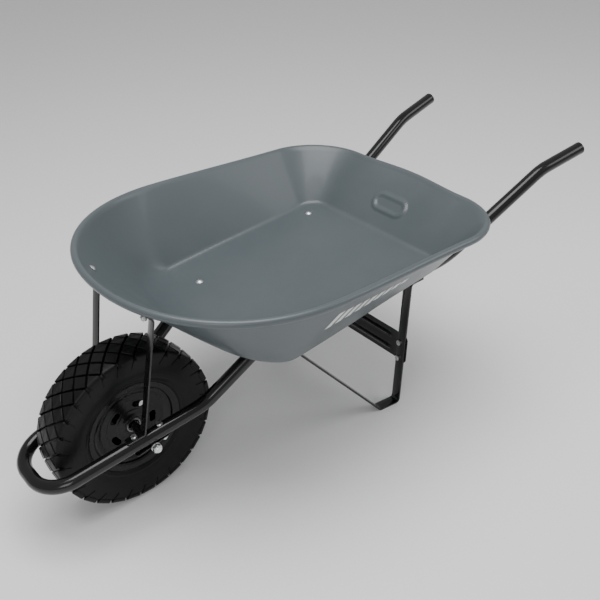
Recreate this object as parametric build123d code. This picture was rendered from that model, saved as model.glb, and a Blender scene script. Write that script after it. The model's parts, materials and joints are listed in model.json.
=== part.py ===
from build123d import *
import os
from math import atan, atan2, cos, degrees, radians, sin, sqrt, tan

os.makedirs("parts", exist_ok=True)

# Frame: +X is the way the barrow rolls, +Y its left side, +Z up, and Z = 0 the ground.
# The origin is under the middle of the whole barrow.  Every "ahead" is a distance along X
# from the wheel axle, negative towards the handles.

# ---------------------------------------------------------------- driving dimensions (mm)
AXLE_X = 500.0            # the axle ahead of the origin
AXLE_Z = 199.0            # axle height: the rolling radius of the tyre
TYRE_R = 199.0
AXLE_R = 7.5
TUBE_R = 16.0
TUBE_WALL = 2.0
PLATE = 2.0               # pressed plate of the wheel and of the cross plate

# the one bent tube, seen from above: two straight sides that open towards the handles
HALF_GAUGE = 110.0        # tube centre line from the middle plane, at the axle
TAPER = 6.94              # each side runs outwards by this angle, in degrees
# the same tube from the side: (ahead, height) of each corner of its centre line
HANDLE_TIP = (-1252.0, 573.0)
HANDLE_BEND = (-1116.0, 547.0)
TRAY_REAR = (-812.0, 389.5)
TRAY_FRONT = (-275.0, 343.5)
DROP_END = -131.0
NOSE = 239.0
WHEEL_RUN_FALL = 11.2     # the run beside the wheel falls forwards by this angle, in degrees
BENDS = [150, 220, 110, 130, 75]

# pressed tray: planes through its floor and its rim, and the outline in each
FLOOR_SLOPE = (TRAY_REAR[1] - TRAY_FRONT[1]) / (TRAY_FRONT[0] - TRAY_REAR[0])
RIM_REAR = -887.3
RIM_Z = 518.3             # height of the rolled rim at its rear edge
RIM_RISE = 0.044          # the rim climbs forwards by this slope
RIM_R = 8.6               # outside radius of the rolled rim
RIM_BORE_R = 6.8
RIM_WIRE_R = 4.6          # the wire lies on the bottom of the roll
SHEET = 2.0               # tray sheet, measured upwards
WALL_INSET = 4.3          # the sheet runs through the wall of the roll and is cut off in its bore
FLOOR_REAR = -772.0
FLOOR_FRONT = -203.0
FLOOR_HALF = 254.0
FLOOR_WIDEST = -300.0
RIM_HALF_REAR = 347.3
RIM_HALF = 357.3
RIM_WIDEST = -342.0
RIM_FRONT = 13.3
REAR_BOW = 15.0
FLOOR_CORNER = 60.0
RIM_CORNER = 160.0
FLOOR_POWER = 2.9         # exponents of the super-ellipse that the front follows
RIM_POWER = 2.15
FOOT_RADIUS = {"rear": 35.0, "side": 30.0, "front": 170.0}

# flat-bar legs and front braces, plate between the legs
BAR = (28.0, 5.0)
LEG = dict(front_end=-301.0, front_top=-338.0, foot_front=-616.0, foot_rear=-676.0,
           rear_top=-698.0, rear_end=-737.0)
BRACE = (22.0, 4.0)
BRACE_FOOT = (58.0, 16.0)  # ahead: tip and heel of the foot on the tube
BRACE_WALL = dict(knee=0.82, bolt=0.885, end=0.945)  # levels up the front wall
WALL_GAP = 1.6            # the tab meets the curved wall along one line
WALL_BOLT_TURN = 13.0     # the bolt there shares out the angle between the tab and the wall
CROSS_PLATE = dict(half=212.0, low=126.0, high=204.0)
CROSS_BOLTS = (134.0, 181.0)
CROSS_BOLT_Y = 188.0

# bolts
BOLT_R = 4.0
FLOOR_BOLTS = (-713.0, -317.0)
BRACKET_BOLT = 30.0       # each bracket bolt from the axle, along the tube
BRACKET = dict(width=26.0, thick=3.0, reach=44.0)
SEAT_GAP = 0.4            # left where a flat part meets one that is turned by the taper
AXLE_HALF = 138.0

# wheel
HUB_HALF = 30.0
HUB_R = 22.0
BEARING = dict(bore=7.5, outer=17.5, width=11.0, pitch=12.5, ball=2.95, count=8)
WINDOWS = dict(count=5, first=42.0, middle=52.0, half=8.0, span=34.0)
VALVE_TURN = 258.0        # where the valve stands, in degrees from straight ahead

# ---------------------------------------------------------------- shared geometry
SPREAD = tan(radians(TAPER))
RUN_FALL = tan(radians(WHEEL_RUN_FALL))
TUBE_Z_AT_AXLE = AXLE_Z + (TUBE_R + AXLE_R) / cos(radians(WHEEL_RUN_FALL))
SIDE = Location((AXLE_X, HALF_GAUGE, 0), (0, 0, -TAPER))


def tube_y(ahead):
    return HALF_GAUGE - SPREAD * ahead


def run_z(ahead):
    """Tube centre beside the wheel."""
    return TUBE_Z_AT_AXLE - RUN_FALL * ahead


def under_tray_z(ahead):
    """Tube centre under the tray."""
    return TRAY_REAR[1] - FLOOR_SLOPE * (ahead - TRAY_REAR[0])


def along(ahead):
    """Distance along a tapering side for a distance ahead of the axle."""
    return ahead / cos(radians(TAPER))


def bent_bar(points, radius, size):
    """Flat bar on one side's upright plane, from (ahead, height) points of its middle."""
    path = FilletPolyline(*[(along(a), 0, z) for a, z in points], radius=radius)
    start = Plane(origin=path @ 0, x_dir=(0, 1, 0), z_dir=path % 0)
    return sweep(start * Rectangle(*size), path)


def on_left(part):
    return SIDE * part


def both(part):
    return part + mirror(part, Plane.XZ)


def pipe(path, outer, inner=0):
    section = Plane(origin=path @ 0, z_dir=path % 0)
    solid = sweep(section * Circle(outer), path)
    if inner:
        solid -= sweep(section * Circle(inner), path)
    return solid


def rod(place, radius, low, high):
    """Cylinder on the Z axis of a place, from one height to another."""
    return place * (Pos(0, 0, (low + high) / 2) * Cylinder(radius, high - low))


def ring(place, outer, inner, low, high):
    return rod(place, outer, low, high) - rod(place, inner, low - 1, high + 1)


def hex_nut(place, across, hole, low, high):
    body = place * Pos(0, 0, low) * extrude(RegularPolygon(across / 2, 6, major_radius=False), high - low)
    return body - rod(place, hole, low - 1, high + 1)


def hex_bolt(place, head_low, head_high, tip):
    """Hex head above its seat and a shank down to its tip."""
    head = place * Pos(0, 0, head_low) * extrude(
        RegularPolygon(6.5, 6, major_radius=False), head_high - head_low)
    return head + rod(place, BOLT_R, tip, head_low)


def domed_bolt(place, seat, tip):
    """Low domed head on the seat, and a shank down to the tip."""
    head = Pos(0, 0, seat - 6.9) * Sphere(11.4) & Pos(0, 0, seat + 5) * Box(30, 30, 10)
    return place * head + rod(place, BOLT_R, tip, seat + 0.1)


def solids(parts):
    return Compound(children=[s for p in parts for s in p.solids()])


def save(name, part):
    export_step(part, f"parts/{name}.step")


# ---------------------------------------------------------------- the bent tube
def frame_corners():
    nose = (NOSE, run_z(NOSE))
    drop = (DROP_END, run_z(DROP_END))
    side = [HANDLE_TIP, HANDLE_BEND, TRAY_REAR, TRAY_FRONT, drop, nose]
    left = [Vector(AXLE_X + a, tube_y(a), z) for a, z in side]
    right = [Vector(p.X, -p.Y, p.Z) for p in reversed(left)]
    return left + right


def frame_path():
    corners = frame_corners()
    cap = 5.0
    for end, inner in ((0, 1), (-1, -2)):
        corners[end] = corners[end] + (corners[inner] - corners[end]).normalized() * cap
    return FilletPolyline(*corners, radius=BENDS + BENDS[::-1])


def run_place(ahead):
    """On the tube centre beside the wheel, its Z square to the tube."""
    fall = degrees(atan(RUN_FALL * cos(radians(TAPER))))
    return SIDE * Location((along(ahead), 0, run_z(ahead))) * Rot(0, fall, 0)


def floor_place(ahead):
    """On the tube centre under the tray, its Z square to the floor."""
    point = (AXLE_X + ahead, tube_y(ahead), under_tray_z(ahead))
    return Location(point) * Rot(0, degrees(atan(FLOOR_SLOPE)), 0)


def left_tube_holes():
    places = [run_place(a) for a in bracket_bolts_ahead()]
    places += [floor_place(a) for a in FLOOR_BOLTS]
    return [rod(p, BOLT_R + 0.3, -TUBE_R - 2, TUBE_R + 2) for p in places]


def bracket_bolts_ahead():
    step = BRACKET_BOLT * cos(radians(WHEEL_RUN_FALL))
    middle = (TUBE_R + AXLE_R) * sin(radians(WHEEL_RUN_FALL))
    return (middle + step, middle - step)


def frame_tube():
    tube = pipe(frame_path(), TUBE_R, TUBE_R - TUBE_WALL)
    for hole in left_tube_holes():
        tube -= hole + mirror(hole, Plane.XZ)
    return tube


def handle_cap():
    tip, bend = frame_corners()[0], frame_corners()[1]
    place = Plane(origin=tip, z_dir=tip - bend).location
    lip = rod(Location(), TUBE_R, -5, 0)
    lip = fillet(lip.edges().group_by(Axis.Z)[-1], 3.5)
    return place * (lip + rod(Location(), TUBE_R - TUBE_WALL - 0.1, -24, -5))


# ---------------------------------------------------------------- the pressed tray
def wall_run(height, angle, radius):
    """How far a wall stands outside its corner with the floor, at a height above the floor."""
    if height >= radius * (1 - cos(angle)):
        return height / tan(angle)
    return sqrt(radius ** 2 - (radius - height) ** 2) - radius * tan(angle / 2)


def mix(low, high, level):
    return low + (high - low) * level


def floor_z(ahead):
    """Underside of the tray floor, on top of the tube."""
    return under_tray_z(ahead) + TUBE_R * sqrt(1 + FLOOR_SLOPE ** 2)


def rim_z(ahead):
    return RIM_Z + RIM_RISE * (ahead - RIM_REAR)


def tray_outline(level, grow=0.0):
    """Closed outline at a level between the floor (0) and the rim (1), from the rear middle."""
    def reach(corner, rim, name, where):
        rise = rim_z(where) - floor_z(where)
        angle = atan(rise / abs(rim - corner))
        return wall_run(level * rise, angle, FOOT_RADIUS[name])

    rear = FLOOR_REAR - reach(FLOOR_REAR, RIM_REAR, "rear", FLOOR_REAR - 60) - grow
    front = FLOOR_FRONT + reach(FLOOR_FRONT, RIM_FRONT, "front", FLOOR_FRONT + 120) + grow
    side = FLOOR_HALF + reach(FLOOR_HALF, RIM_HALF, "side", -500) + grow
    side_rear = side - (RIM_HALF - RIM_HALF_REAR)
    corner = mix(FLOOR_CORNER, RIM_CORNER, level)
    widest = mix(FLOOR_WIDEST, RIM_WIDEST, level)
    bow = REAR_BOW * level

    power = nose_power(level)
    half = []
    flat = side_rear - corner
    for y in (0.0, flat / 2, flat):
        half.append((rear - bow * (1 - (y / flat) ** 2), y))
    for turn in (22.5, 45, 67.5, 90):
        a = radians(turn)
        half.append((rear + corner * (1 - cos(a)), flat + corner * sin(a)))
    start = rear + corner
    for part in (1 / 3, 2 / 3, 1):
        x = mix(start, widest, part)
        half.append((x, mix(side_rear, side, sin(radians(90 * part)))))
    for turn in (13, 26, 39, 52, 65, 78, 90):
        a = radians(turn)
        x = widest + (front - widest) * sin(a) ** (2 / power)
        half.append((x, side * max(cos(a), 0) ** (2 / power)))
    half[-1] = (front, 0.0)
    other = [(x, -y) for x, y in reversed(half[1:-1])]
    return half + other


def outline_wire(level, grow=0.0, lift=0.0):
    points = []
    for ahead, y in tray_outline(level, grow):
        z = mix(floor_z(ahead), rim_z(ahead), level) + lift
        points.append((AXLE_X + ahead, y, z))
    return Wire(Spline(*points, periodic=True))


def tray_loft(lift=0.0):
    levels = (0, 0.03, 0.08, 0.18, 0.4, 0.7, 1)
    return Solid.make_loft([outline_wire(v, -WALL_INSET * v, lift) for v in levels])


def nose_power(level):
    return mix(FLOOR_POWER, RIM_POWER, level)


def front_wall(level):
    """(ahead, height) of the outside of the front wall, in the upright plane of a brace."""
    half = tray_outline(level, -WALL_INSET * level)
    front, side = half[len(half) // 2][0], max(y for _, y in half)
    widest = mix(FLOOR_WIDEST, RIM_WIDEST, level)
    power = nose_power(level)
    y = tube_y(-20.0)
    ahead = widest + (front - widest) * (1 - (y / side) ** power) ** (1 / power)
    return ahead, mix(floor_z(ahead), rim_z(ahead), level)


def wall_angle():
    (a0, z0), (a1, z1) = front_wall(BRACE_WALL["knee"]), front_wall(BRACE_WALL["end"])
    return degrees(atan2(z1 - z0, a1 - a0))


def wall_place():
    """On the outside of the front wall at the brace bolt, its Z pointing into the tray."""
    ahead, z = front_wall(BRACE_WALL["bolt"])
    return SIDE * Location((along(ahead), 0, z)) * Rot(0, -wall_angle(), 0) * Rot(WALL_BOLT_TURN, 0, 0)


def bolt_holes():
    floor = [rod(floor_place(a), BOLT_R + 0.3, TUBE_R - 5, TUBE_R + 8) for a in FLOOR_BOLTS]
    return floor + [rod(wall_place(), BOLT_R + 0.3, -8, 8)]


def tray():
    rim = outline_wire(1)
    pan = tray_loft() - tray_loft(SHEET)
    pan += pipe(rim, RIM_R)
    pan -= pipe(rim, RIM_BORE_R)
    for hole in bolt_holes():
        pan -= hole + mirror(hole, Plane.XZ)
    return pan


def rim_wire():
    return pipe(outline_wire(1, lift=RIM_WIRE_R + 0.1 - RIM_BORE_R), RIM_WIRE_R)


# ---------------------------------------------------------------- flat bars and plate
def leg_flange(ahead):
    """Middle of the bar where it lies along the underside of the tube."""
    return ahead, under_tray_z(ahead) - (TUBE_R + BAR[1] / 2) * sqrt(1 + FLOOR_SLOPE ** 2)


def leg_lean():
    """Lean of the rear strut backwards from upright, in degrees."""
    rise = leg_flange(LEG["rear_top"])[1] - BAR[1] / 2
    return degrees(atan2(along(LEG["foot_rear"] - LEG["rear_top"]), rise))


def strut_ahead(height):
    back = (height - BAR[1] / 2) * tan(radians(leg_lean()))
    return LEG["foot_rear"] - back * cos(radians(TAPER))


def strut_place(height, y):
    """On the middle of the left rear strut, its Z out of the strut's front face."""
    ahead = strut_ahead(height)
    aside = (y - tube_y(ahead)) / cos(radians(TAPER))
    return SIDE * Location((along(ahead), aside, height)) * Rot(0, 90 - leg_lean(), 0)


def leg():
    ground = BAR[1] / 2
    points = [leg_flange(LEG["front_end"]), leg_flange(LEG["front_top"]),
              (LEG["foot_front"], ground), (LEG["foot_rear"], ground),
              leg_flange(LEG["rear_top"]), leg_flange(LEG["rear_end"])]
    bar = on_left(bent_bar(points, 11, BAR))
    for ahead in FLOOR_BOLTS:
        bar -= rod(floor_place(ahead), BOLT_R + 0.3, -TUBE_R - 12, -TUBE_R + 5)
    for height in CROSS_BOLTS:
        bar -= rod(strut_place(height, CROSS_BOLT_Y), BOLT_R + 0.3, -12, 12)
    return bar


def front_brace():
    lift = (TUBE_R + BRACE[1] / 2) / cos(radians(WHEEL_RUN_FALL))
    out = WALL_GAP + BRACE[1] / 2
    turn = radians(wall_angle())
    tab = []
    for name in ("knee", "end"):
        ahead, z = front_wall(BRACE_WALL[name])
        tab.append((ahead + out * sin(turn), z - out * cos(turn)))
    foot = [(a, run_z(a) + lift) for a in BRACE_FOOT]
    bar = on_left(bent_bar(foot + tab, 7, BRACE))
    bar -= rod(run_place(bracket_bolts_ahead()[0]), BOLT_R + 0.3, TUBE_R - 4, TUBE_R + 12)
    return bar - rod(wall_place(), BOLT_R + 0.3, -20, 4)


def cross_plate():
    """Pressed plate behind both rear struts, its ends turned to lie flat on them."""
    low, high, half = CROSS_PLATE["low"], CROSS_PLATE["high"], CROSS_PLATE["half"]
    middle = (low + high) / 2
    back = -(BAR[1] + PLATE) / 2 / cos(radians(TAPER)) - 0.05
    at_strut = tube_y(strut_ahead(middle))
    knee = half - 46
    plan = [(back + (y - at_strut) * SPREAD, y) for y in (half, knee)]
    plan += [(x, -y) for x, y in reversed(plan)]
    path = FilletPolyline(*[(x, y, 0) for x, y in plan], radius=8)
    start = Plane(origin=path @ 0, x_dir=(0, 0, 1), z_dir=path % 0)
    plate = sweep(start * Rectangle(high - low, PLATE), path)
    face = plan[1][0]
    for z in (-19, 19):
        rib = Location((face, 0, z)) * Rot(90, 0, 0)
        plate -= rod(rib, 6, -knee + 14, knee - 14)
        bead = ring(rib, 7, 5, -knee + 14, knee - 14)
        bead += ring(rib, 7, 0.01, knee - 16, knee - 14) + ring(rib, 7, 0.01, 14 - knee, 16 - knee)
        plate += bead & Location((face + 4.1, 0, z)) * Box(10, 2 * half, 20)
    place = Location((AXLE_X + strut_ahead(middle), 0, middle)) * Rot(0, -leg_lean(), 0)
    plate = place * plate
    for height in CROSS_BOLTS:
        hole = rod(strut_place(height, CROSS_BOLT_Y), BOLT_R + 0.3, -12, 12)
        plate -= hole + mirror(hole, Plane.XZ)
    return plate


# ---------------------------------------------------------------- axle and its brackets
def axle_line(radius, low, high):
    return Location((AXLE_X, 0, AXLE_Z)) * Rot(-90, 0, 0) * (
        Pos(0, 0, (low + high) / 2) * Cylinder(radius, high - low))


def axle_ring(outer, inner, low, high):
    return axle_line(outer, low, high) - axle_line(inner, low - 1, high + 1)


def axle_bracket():
    """Strap that hangs the axle under the tube, with an ear each side for a bolt."""
    width, thick, reach = BRACKET["width"], BRACKET["thick"], BRACKET["reach"]
    outer = AXLE_R + thick
    drop = TUBE_R + AXLE_R
    with BuildSketch(Plane.XZ) as profile:
        with Locations((0, -TUBE_R - SEAT_GAP - thick / 2)):
            Rectangle(2 * reach, thick)
        with Locations((0, -drop)):
            Circle(outer)
        with Locations((0, -TUBE_R - AXLE_R / 2)):
            Rectangle(2 * outer, AXLE_R)
        with Locations((0, -TUBE_R - AXLE_R / 2 + 3)):
            Rectangle(2 * AXLE_R, AXLE_R + 6, mode=Mode.SUBTRACT)
    strap = extrude(profile.sketch, width / 2, both=True)
    middle = (bracket_bolts_ahead()[0] + bracket_bolts_ahead()[1]) / 2
    strap = Location((AXLE_X + middle, HALF_GAUGE, run_z(middle))) * Rot(0, WHEEL_RUN_FALL, 0) * strap
    strap -= axle_line(AXLE_R, 0, AXLE_HALF)
    for ahead in bracket_bolts_ahead():
        strap -= rod(run_place(ahead), BOLT_R + 0.3, -TUBE_R - 8, -TUBE_R + 4)
    return strap


def axle_nut():
    low = HALF_GAUGE + BRACKET["width"] / 2 + 1.6
    side = Location((AXLE_X, 0, AXLE_Z)) * Rot(-90, 0, 0)
    return hex_nut(side, 19, AXLE_R, low, low + 10)


def axle_washer():
    low = HALF_GAUGE + BRACKET["width"] / 2
    return axle_ring(11, AXLE_R, low, low + 1.6)


def axle_spacer():
    return axle_ring(10.5, AXLE_R, HUB_HALF, HALF_GAUGE - BRACKET["width"] / 2)


def axle_sleeve():
    end = HUB_HALF - BEARING["width"]
    return axle_ring(10.0, AXLE_R, -end, end)


# ---------------------------------------------------------------- wheel
def turned(points):
    """Solid of revolution about the axle from (radius, aside) corners."""
    face = make_face(Polyline(*points, close=True))
    return Location((AXLE_X, 0, AXLE_Z)) * revolve(face, Axis.Y)


def symmetric(outer, inner):
    """Closed corners of a wall from its outer and inner halves, mirrored across the middle."""
    loop = outer + [(r, -y) for r, y in reversed(outer)]
    return loop + [(r, -y) for r, y in inner] + list(reversed(inner))


def around(turn, radius, y=0.0):
    """Place on a spoke of the wheel, its Z pointing outwards along the spoke."""
    return Location((AXLE_X, y, AXLE_Z)) * Rot(0, 90 - turn, 0) * Pos(0, 0, radius)


def wheel_rim():
    outer = [(114, 36.2), (104, 34.4), (101, 32), (101, 20), (94, 15)]
    inner = [(114, 38.6), (103, 36.8), (98.6, 34), (98.6, 21), (91.6, 16)]
    return turned(symmetric(outer, inner)) - rod(around(VALVE_TURN, 0), 4.2, 60, 110)


def wheel_disc():
    """Dished disc between the hub and the rim, with windows round it."""
    face = [(98.5, 23), (98.5, 31), (93, 32), (80, 25), (30, 25), (22, 29)]
    back = [(22, 27), (30, 23), (80.6, 23), (93, 29.7), (96.5, 29), (96.5, 23)]
    disc = turned(face + back)
    for k in range(WINDOWS["count"]):
        middle = WINDOWS["first"] + k * 360 / WINDOWS["count"]
        disc -= window(middle)
    return disc


def window(middle):
    """Kidney-shaped cutter: a band of the disc between two spokes."""
    low, high = WINDOWS["middle"] - WINDOWS["half"], WINDOWS["middle"] + WINDOWS["half"]
    band = axle_ring(high, low, 10, 40)
    reach, half = 90, radians(WINDOWS["span"] / 2)
    wedge = extrude(make_face(Polyline((0, 0), (reach, reach * tan(half)), (reach, -reach * tan(half)),
                                       close=True)), 60, both=True)
    return band & (Location((AXLE_X, 0, AXLE_Z)) * Rot(0, -middle, 0) * Rot(90, 0, 0) * wedge)


def wheel_hub():
    seat, end = BEARING["outer"], HUB_HALF - BEARING["width"]
    hub = axle_ring(HUB_R, 15, -HUB_HALF, HUB_HALF)
    return hub - both(axle_line(seat, end, HUB_HALF + 1))


def ball_track(radius):
    """Ring-shaped groove of the left bearing."""
    aside = HUB_HALF - BEARING["width"] / 2
    section = Pos(BEARING["pitch"], aside) * Circle(radius)
    return Location((AXLE_X, 0, AXLE_Z)) * revolve(section, Axis.Y)


def bearing_ring(outer, inner, track):
    return axle_ring(outer, inner, HUB_HALF - BEARING["width"], HUB_HALF) - ball_track(track)


def bearing_balls():
    aside = HUB_HALF - BEARING["width"] / 2
    turns = [k * 360 / BEARING["count"] for k in range(BEARING["count"])]
    return solids([around(t, BEARING["pitch"], aside) * Sphere(BEARING["ball"]) for t in turns])


def mirrored_loop(points):
    return points + [(r, -y) for r, y in reversed(points) if y]


def tyre():
    """Hollow carcass: crown, shoulders and side walls down to a bead on each rim seat."""
    with BuildSketch() as section:
        with BuildLine():
            Line((194.5, 46), (185, 50))
            ThreePointArc((185, 50), (154, 52), (122, 43.5))
            Polyline((122, 43.5), (118, 42.5), (114.4, 38.9), (114.3, 36.1), (104, 34.2),
                     (101.1, 31.8), (101.1, 21), (106, 20.5), (110, 29))
            ThreePointArc((110, 29), (150, 44), (183, 40))
            mirror(about=Plane.XZ)
            ThreePointArc((194.5, -46), (TYRE_R, 0), (194.5, 46))
            ThreePointArc((183, 40), (188, 0), (183, -40))
        make_face()
    return Location((AXLE_X, 0, AXLE_Z)) * revolve(section.sketch, Axis.Y)


def inner_tube():
    outside = [(94.4, 14.5), (101.5, 19.3), (106.5, 19.8), (110.8, 28), (130, 37.5), (150, 43),
               (170, 42.4), (182.4, 39), (186.6, 20), (187.4, 0)]
    inside = [(96.5, 13.5), (103, 17.6), (108, 18.2), (112.6, 26.5), (131, 35.5), (150, 41),
              (169.5, 40.3), (180.8, 37.4), (184.7, 19.5), (185.4, 0)]
    return turned(mirrored_loop(outside)) - turned(mirrored_loop(inside))


def valve_stem():
    return rod(around(VALVE_TURN, 0), 4.0, 66, 94.3)


def valve_cap():
    return rod(around(VALVE_TURN, 0), 5.2, 60, 72) - rod(around(VALVE_TURN, 0), 4.0, 66, 74)


# ---------------------------------------------------------------- fasteners of the left side
def floor_bolts():
    return [domed_bolt(floor_place(a), TUBE_R + SHEET, -TUBE_R - 15) for a in FLOOR_BOLTS]


def floor_washers():
    low = -TUBE_R - BAR[1] - SEAT_GAP - 1.6
    return [ring(floor_place(a), 8, BOLT_R, low, low + 1.6) for a in FLOOR_BOLTS]


def floor_nuts():
    high = -TUBE_R - BAR[1] - SEAT_GAP - 1.6
    return [hex_nut(floor_place(a), 13, BOLT_R, high - 6.5, high) for a in FLOOR_BOLTS]


def bracket_bolts():
    front, rear = [run_place(a) for a in bracket_bolts_ahead()]
    top = TUBE_R + BRACE[1]
    tip = -TUBE_R - BRACKET["thick"] - 10
    return [hex_bolt(front, top, top + 5.5, tip), hex_bolt(rear, TUBE_R, TUBE_R + 5.5, tip)]


def bracket_nuts():
    high = -TUBE_R - BRACKET["thick"] - 2 * SEAT_GAP
    places = [run_place(a) for a in bracket_bolts_ahead()]
    return [hex_nut(p, 13, BOLT_R, high - 6.5, high) for p in places]


def brace_bolt():
    return domed_bolt(wall_place(), 4.6, -WALL_GAP - BRACE[1] - 11)


def brace_nut():
    high = -WALL_GAP - BRACE[1] - 1.8
    return hex_nut(wall_place(), 13, BOLT_R, high - 6.5, high)


def cross_bolts():
    face, back = BAR[1] / 2 + 0.05, -BAR[1] / 2 - PLATE - 10
    return [hex_bolt(strut_place(z, CROSS_BOLT_Y), face, face + 5, back) for z in CROSS_BOLTS]


def cross_nuts():
    high = -BAR[1] / 2 - PLATE - 0.2
    return [hex_nut(strut_place(z, CROSS_BOLT_Y), 13, BOLT_R, high - 6.5, high) for z in CROSS_BOLTS]


# ---------------------------------------------------------------- write every node
ONE_OF_EACH = {
    "tray": tray,
    "rim_wire": rim_wire,
    "frame_tube": frame_tube,
    "leg_cross_plate": cross_plate,
    "axle": lambda: axle_line(AXLE_R, -AXLE_HALF, AXLE_HALF),
    "axle_sleeve": axle_sleeve,
    "wheel_hub": wheel_hub,
    "wheel_rim": wheel_rim,
    "tyre": tyre,
    "inner_tube": inner_tube,
    "valve_stem": valve_stem,
    "valve_cap": valve_cap,
}
LEFT_AND_RIGHT = {
    "handle_cap": handle_cap,
    "leg": leg,
    "front_brace": front_brace,
    "axle_bracket": axle_bracket,
    "axle_spacer": axle_spacer,
    "bearing_inner_ring": lambda: bearing_ring(10.6, AXLE_R, 3.3),
    "bearing_outer_ring": lambda: bearing_ring(BEARING["outer"], 14.4, 3.0),
    "bearing_balls": bearing_balls,
    "wheel_disc": wheel_disc,
}
GROUPS = {
    "floor_bolts": floor_bolts,
    "floor_bolt_washers": floor_washers,
    "floor_bolt_nuts": floor_nuts,
    "bracket_bolts": bracket_bolts,
    "bracket_bolt_nuts": bracket_nuts,
    "brace_bolts": lambda: [brace_bolt()],
    "brace_bolt_nuts": lambda: [brace_nut()],
    "cross_plate_bolts": cross_bolts,
    "cross_plate_nuts": cross_nuts,
    "axle_nuts": lambda: [axle_nut()],
    "axle_washers": lambda: [axle_washer()],
}

for name, make in ONE_OF_EACH.items():
    save(name, make())
for name, make in LEFT_AND_RIGHT.items():
    piece = make()
    save(f"left_{name}", piece)
    save(f"right_{name}", mirror(piece, Plane.XZ))
for name, make in GROUPS.items():
    pieces = make()
    save(name, solids(pieces + [mirror(p, Plane.XZ) for p in pieces]))
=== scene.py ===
# %% [markdown]
# # Wheelbarrow
# The design is already packed: every piece has its place, and the wheel its hinge. This lesson
# gives the pieces their looks. The first cell loads the design.

# %% load the design
import json
from math import asin, atan, atan2, ceil, cos, degrees, hypot, pi, radians, sin, sqrt, tan

import bmesh
import bpy
import numpy as np
from mathutils import Euler, Matrix, Vector

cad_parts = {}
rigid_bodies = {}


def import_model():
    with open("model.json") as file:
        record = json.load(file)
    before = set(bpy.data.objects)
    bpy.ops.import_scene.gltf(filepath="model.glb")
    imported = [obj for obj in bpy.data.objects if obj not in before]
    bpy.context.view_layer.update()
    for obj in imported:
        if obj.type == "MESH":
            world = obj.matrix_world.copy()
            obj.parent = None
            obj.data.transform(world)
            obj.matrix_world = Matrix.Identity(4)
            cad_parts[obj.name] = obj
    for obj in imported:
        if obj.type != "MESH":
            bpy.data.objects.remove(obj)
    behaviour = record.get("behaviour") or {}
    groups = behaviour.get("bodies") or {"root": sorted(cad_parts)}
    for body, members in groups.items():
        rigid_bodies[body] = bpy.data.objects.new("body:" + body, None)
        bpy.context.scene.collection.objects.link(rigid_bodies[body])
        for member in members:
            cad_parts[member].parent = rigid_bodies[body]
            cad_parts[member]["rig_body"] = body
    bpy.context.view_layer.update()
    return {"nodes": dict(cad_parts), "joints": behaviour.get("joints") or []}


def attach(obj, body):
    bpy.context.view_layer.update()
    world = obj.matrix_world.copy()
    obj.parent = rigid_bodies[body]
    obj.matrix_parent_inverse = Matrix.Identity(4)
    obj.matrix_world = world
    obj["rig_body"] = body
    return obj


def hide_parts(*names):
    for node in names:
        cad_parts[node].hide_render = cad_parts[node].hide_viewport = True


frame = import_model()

MM = 0.001
nodes = frame["nodes"]
axle = Vector(frame["joints"][0]["pos_m"])

# %% [markdown]
# ## Floor, light and camera
# Gloss black tube and satin grey enamel show their form only through what they reflect. So the
# light is a few large soft boxes over a pale floor: each gives a long clean highlight along a tube
# and a slow gradient inside the tray. Small hard lamps would make dots and black shadows.

# %% floor and sky
def plain_finish(name, colour, roughness):
    material = bpy.data.materials.new(name)
    material.use_nodes = True
    shader = material.node_tree.nodes["Principled BSDF"]
    shader.inputs["Base Color"].default_value = (*colour, 1)
    shader.inputs["Roughness"].default_value = roughness
    return material


FLOOR_HALF = 20.0
floor_mesh = bpy.data.meshes.new("studio_floor")
corners = [(-FLOOR_HALF, -FLOOR_HALF, 0), (FLOOR_HALF, -FLOOR_HALF, 0),
           (FLOOR_HALF, FLOOR_HALF, 0), (-FLOOR_HALF, FLOOR_HALF, 0)]
floor_mesh.from_pydata(corners, [], [(0, 1, 2, 3)])
floor = bpy.data.objects.new("studio_floor", floor_mesh)
bpy.context.scene.collection.objects.link(floor)
floor.data.materials.append(plain_finish("pale_floor", (0.93, 0.93, 0.93), 0.6))

sky = bpy.data.worlds.new("studio_sky")
sky.use_nodes = True
sky.node_tree.nodes["Background"].inputs["Color"].default_value = (1.0, 1.0, 1.0, 1)
sky.node_tree.nodes["Background"].inputs["Strength"].default_value = 0.45
bpy.context.scene.world = sky
print("floor", 2 * FLOOR_HALF, "m square")


# %% soft boxes
def soft_box(name, place, target, width, height, power):
    lamp = bpy.data.lights.new(name, "AREA")
    lamp.shape = "RECTANGLE"
    lamp.size = width
    lamp.size_y = height
    lamp.energy = power
    holder = bpy.data.objects.new(name, lamp)
    bpy.context.scene.collection.objects.link(holder)
    holder.location = place
    holder.rotation_euler = (Vector(target) - Vector(place)).to_track_quat("-Z", "Y").to_euler()
    return holder


MIDDLE = (0, 0, 0.35)
soft_box("over_the_tray", (0.3, 0.2, 3.2), MIDDLE, 2.6, 2.0, 92)
soft_box("front_left", (2.6, 2.2, 2.0), MIDDLE, 1.4, 1.4, 22)
soft_box("behind_left", (-2.4, 1.8, 2.2), MIDDLE, 1.8, 1.2, 18)
print("three soft boxes")

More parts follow.
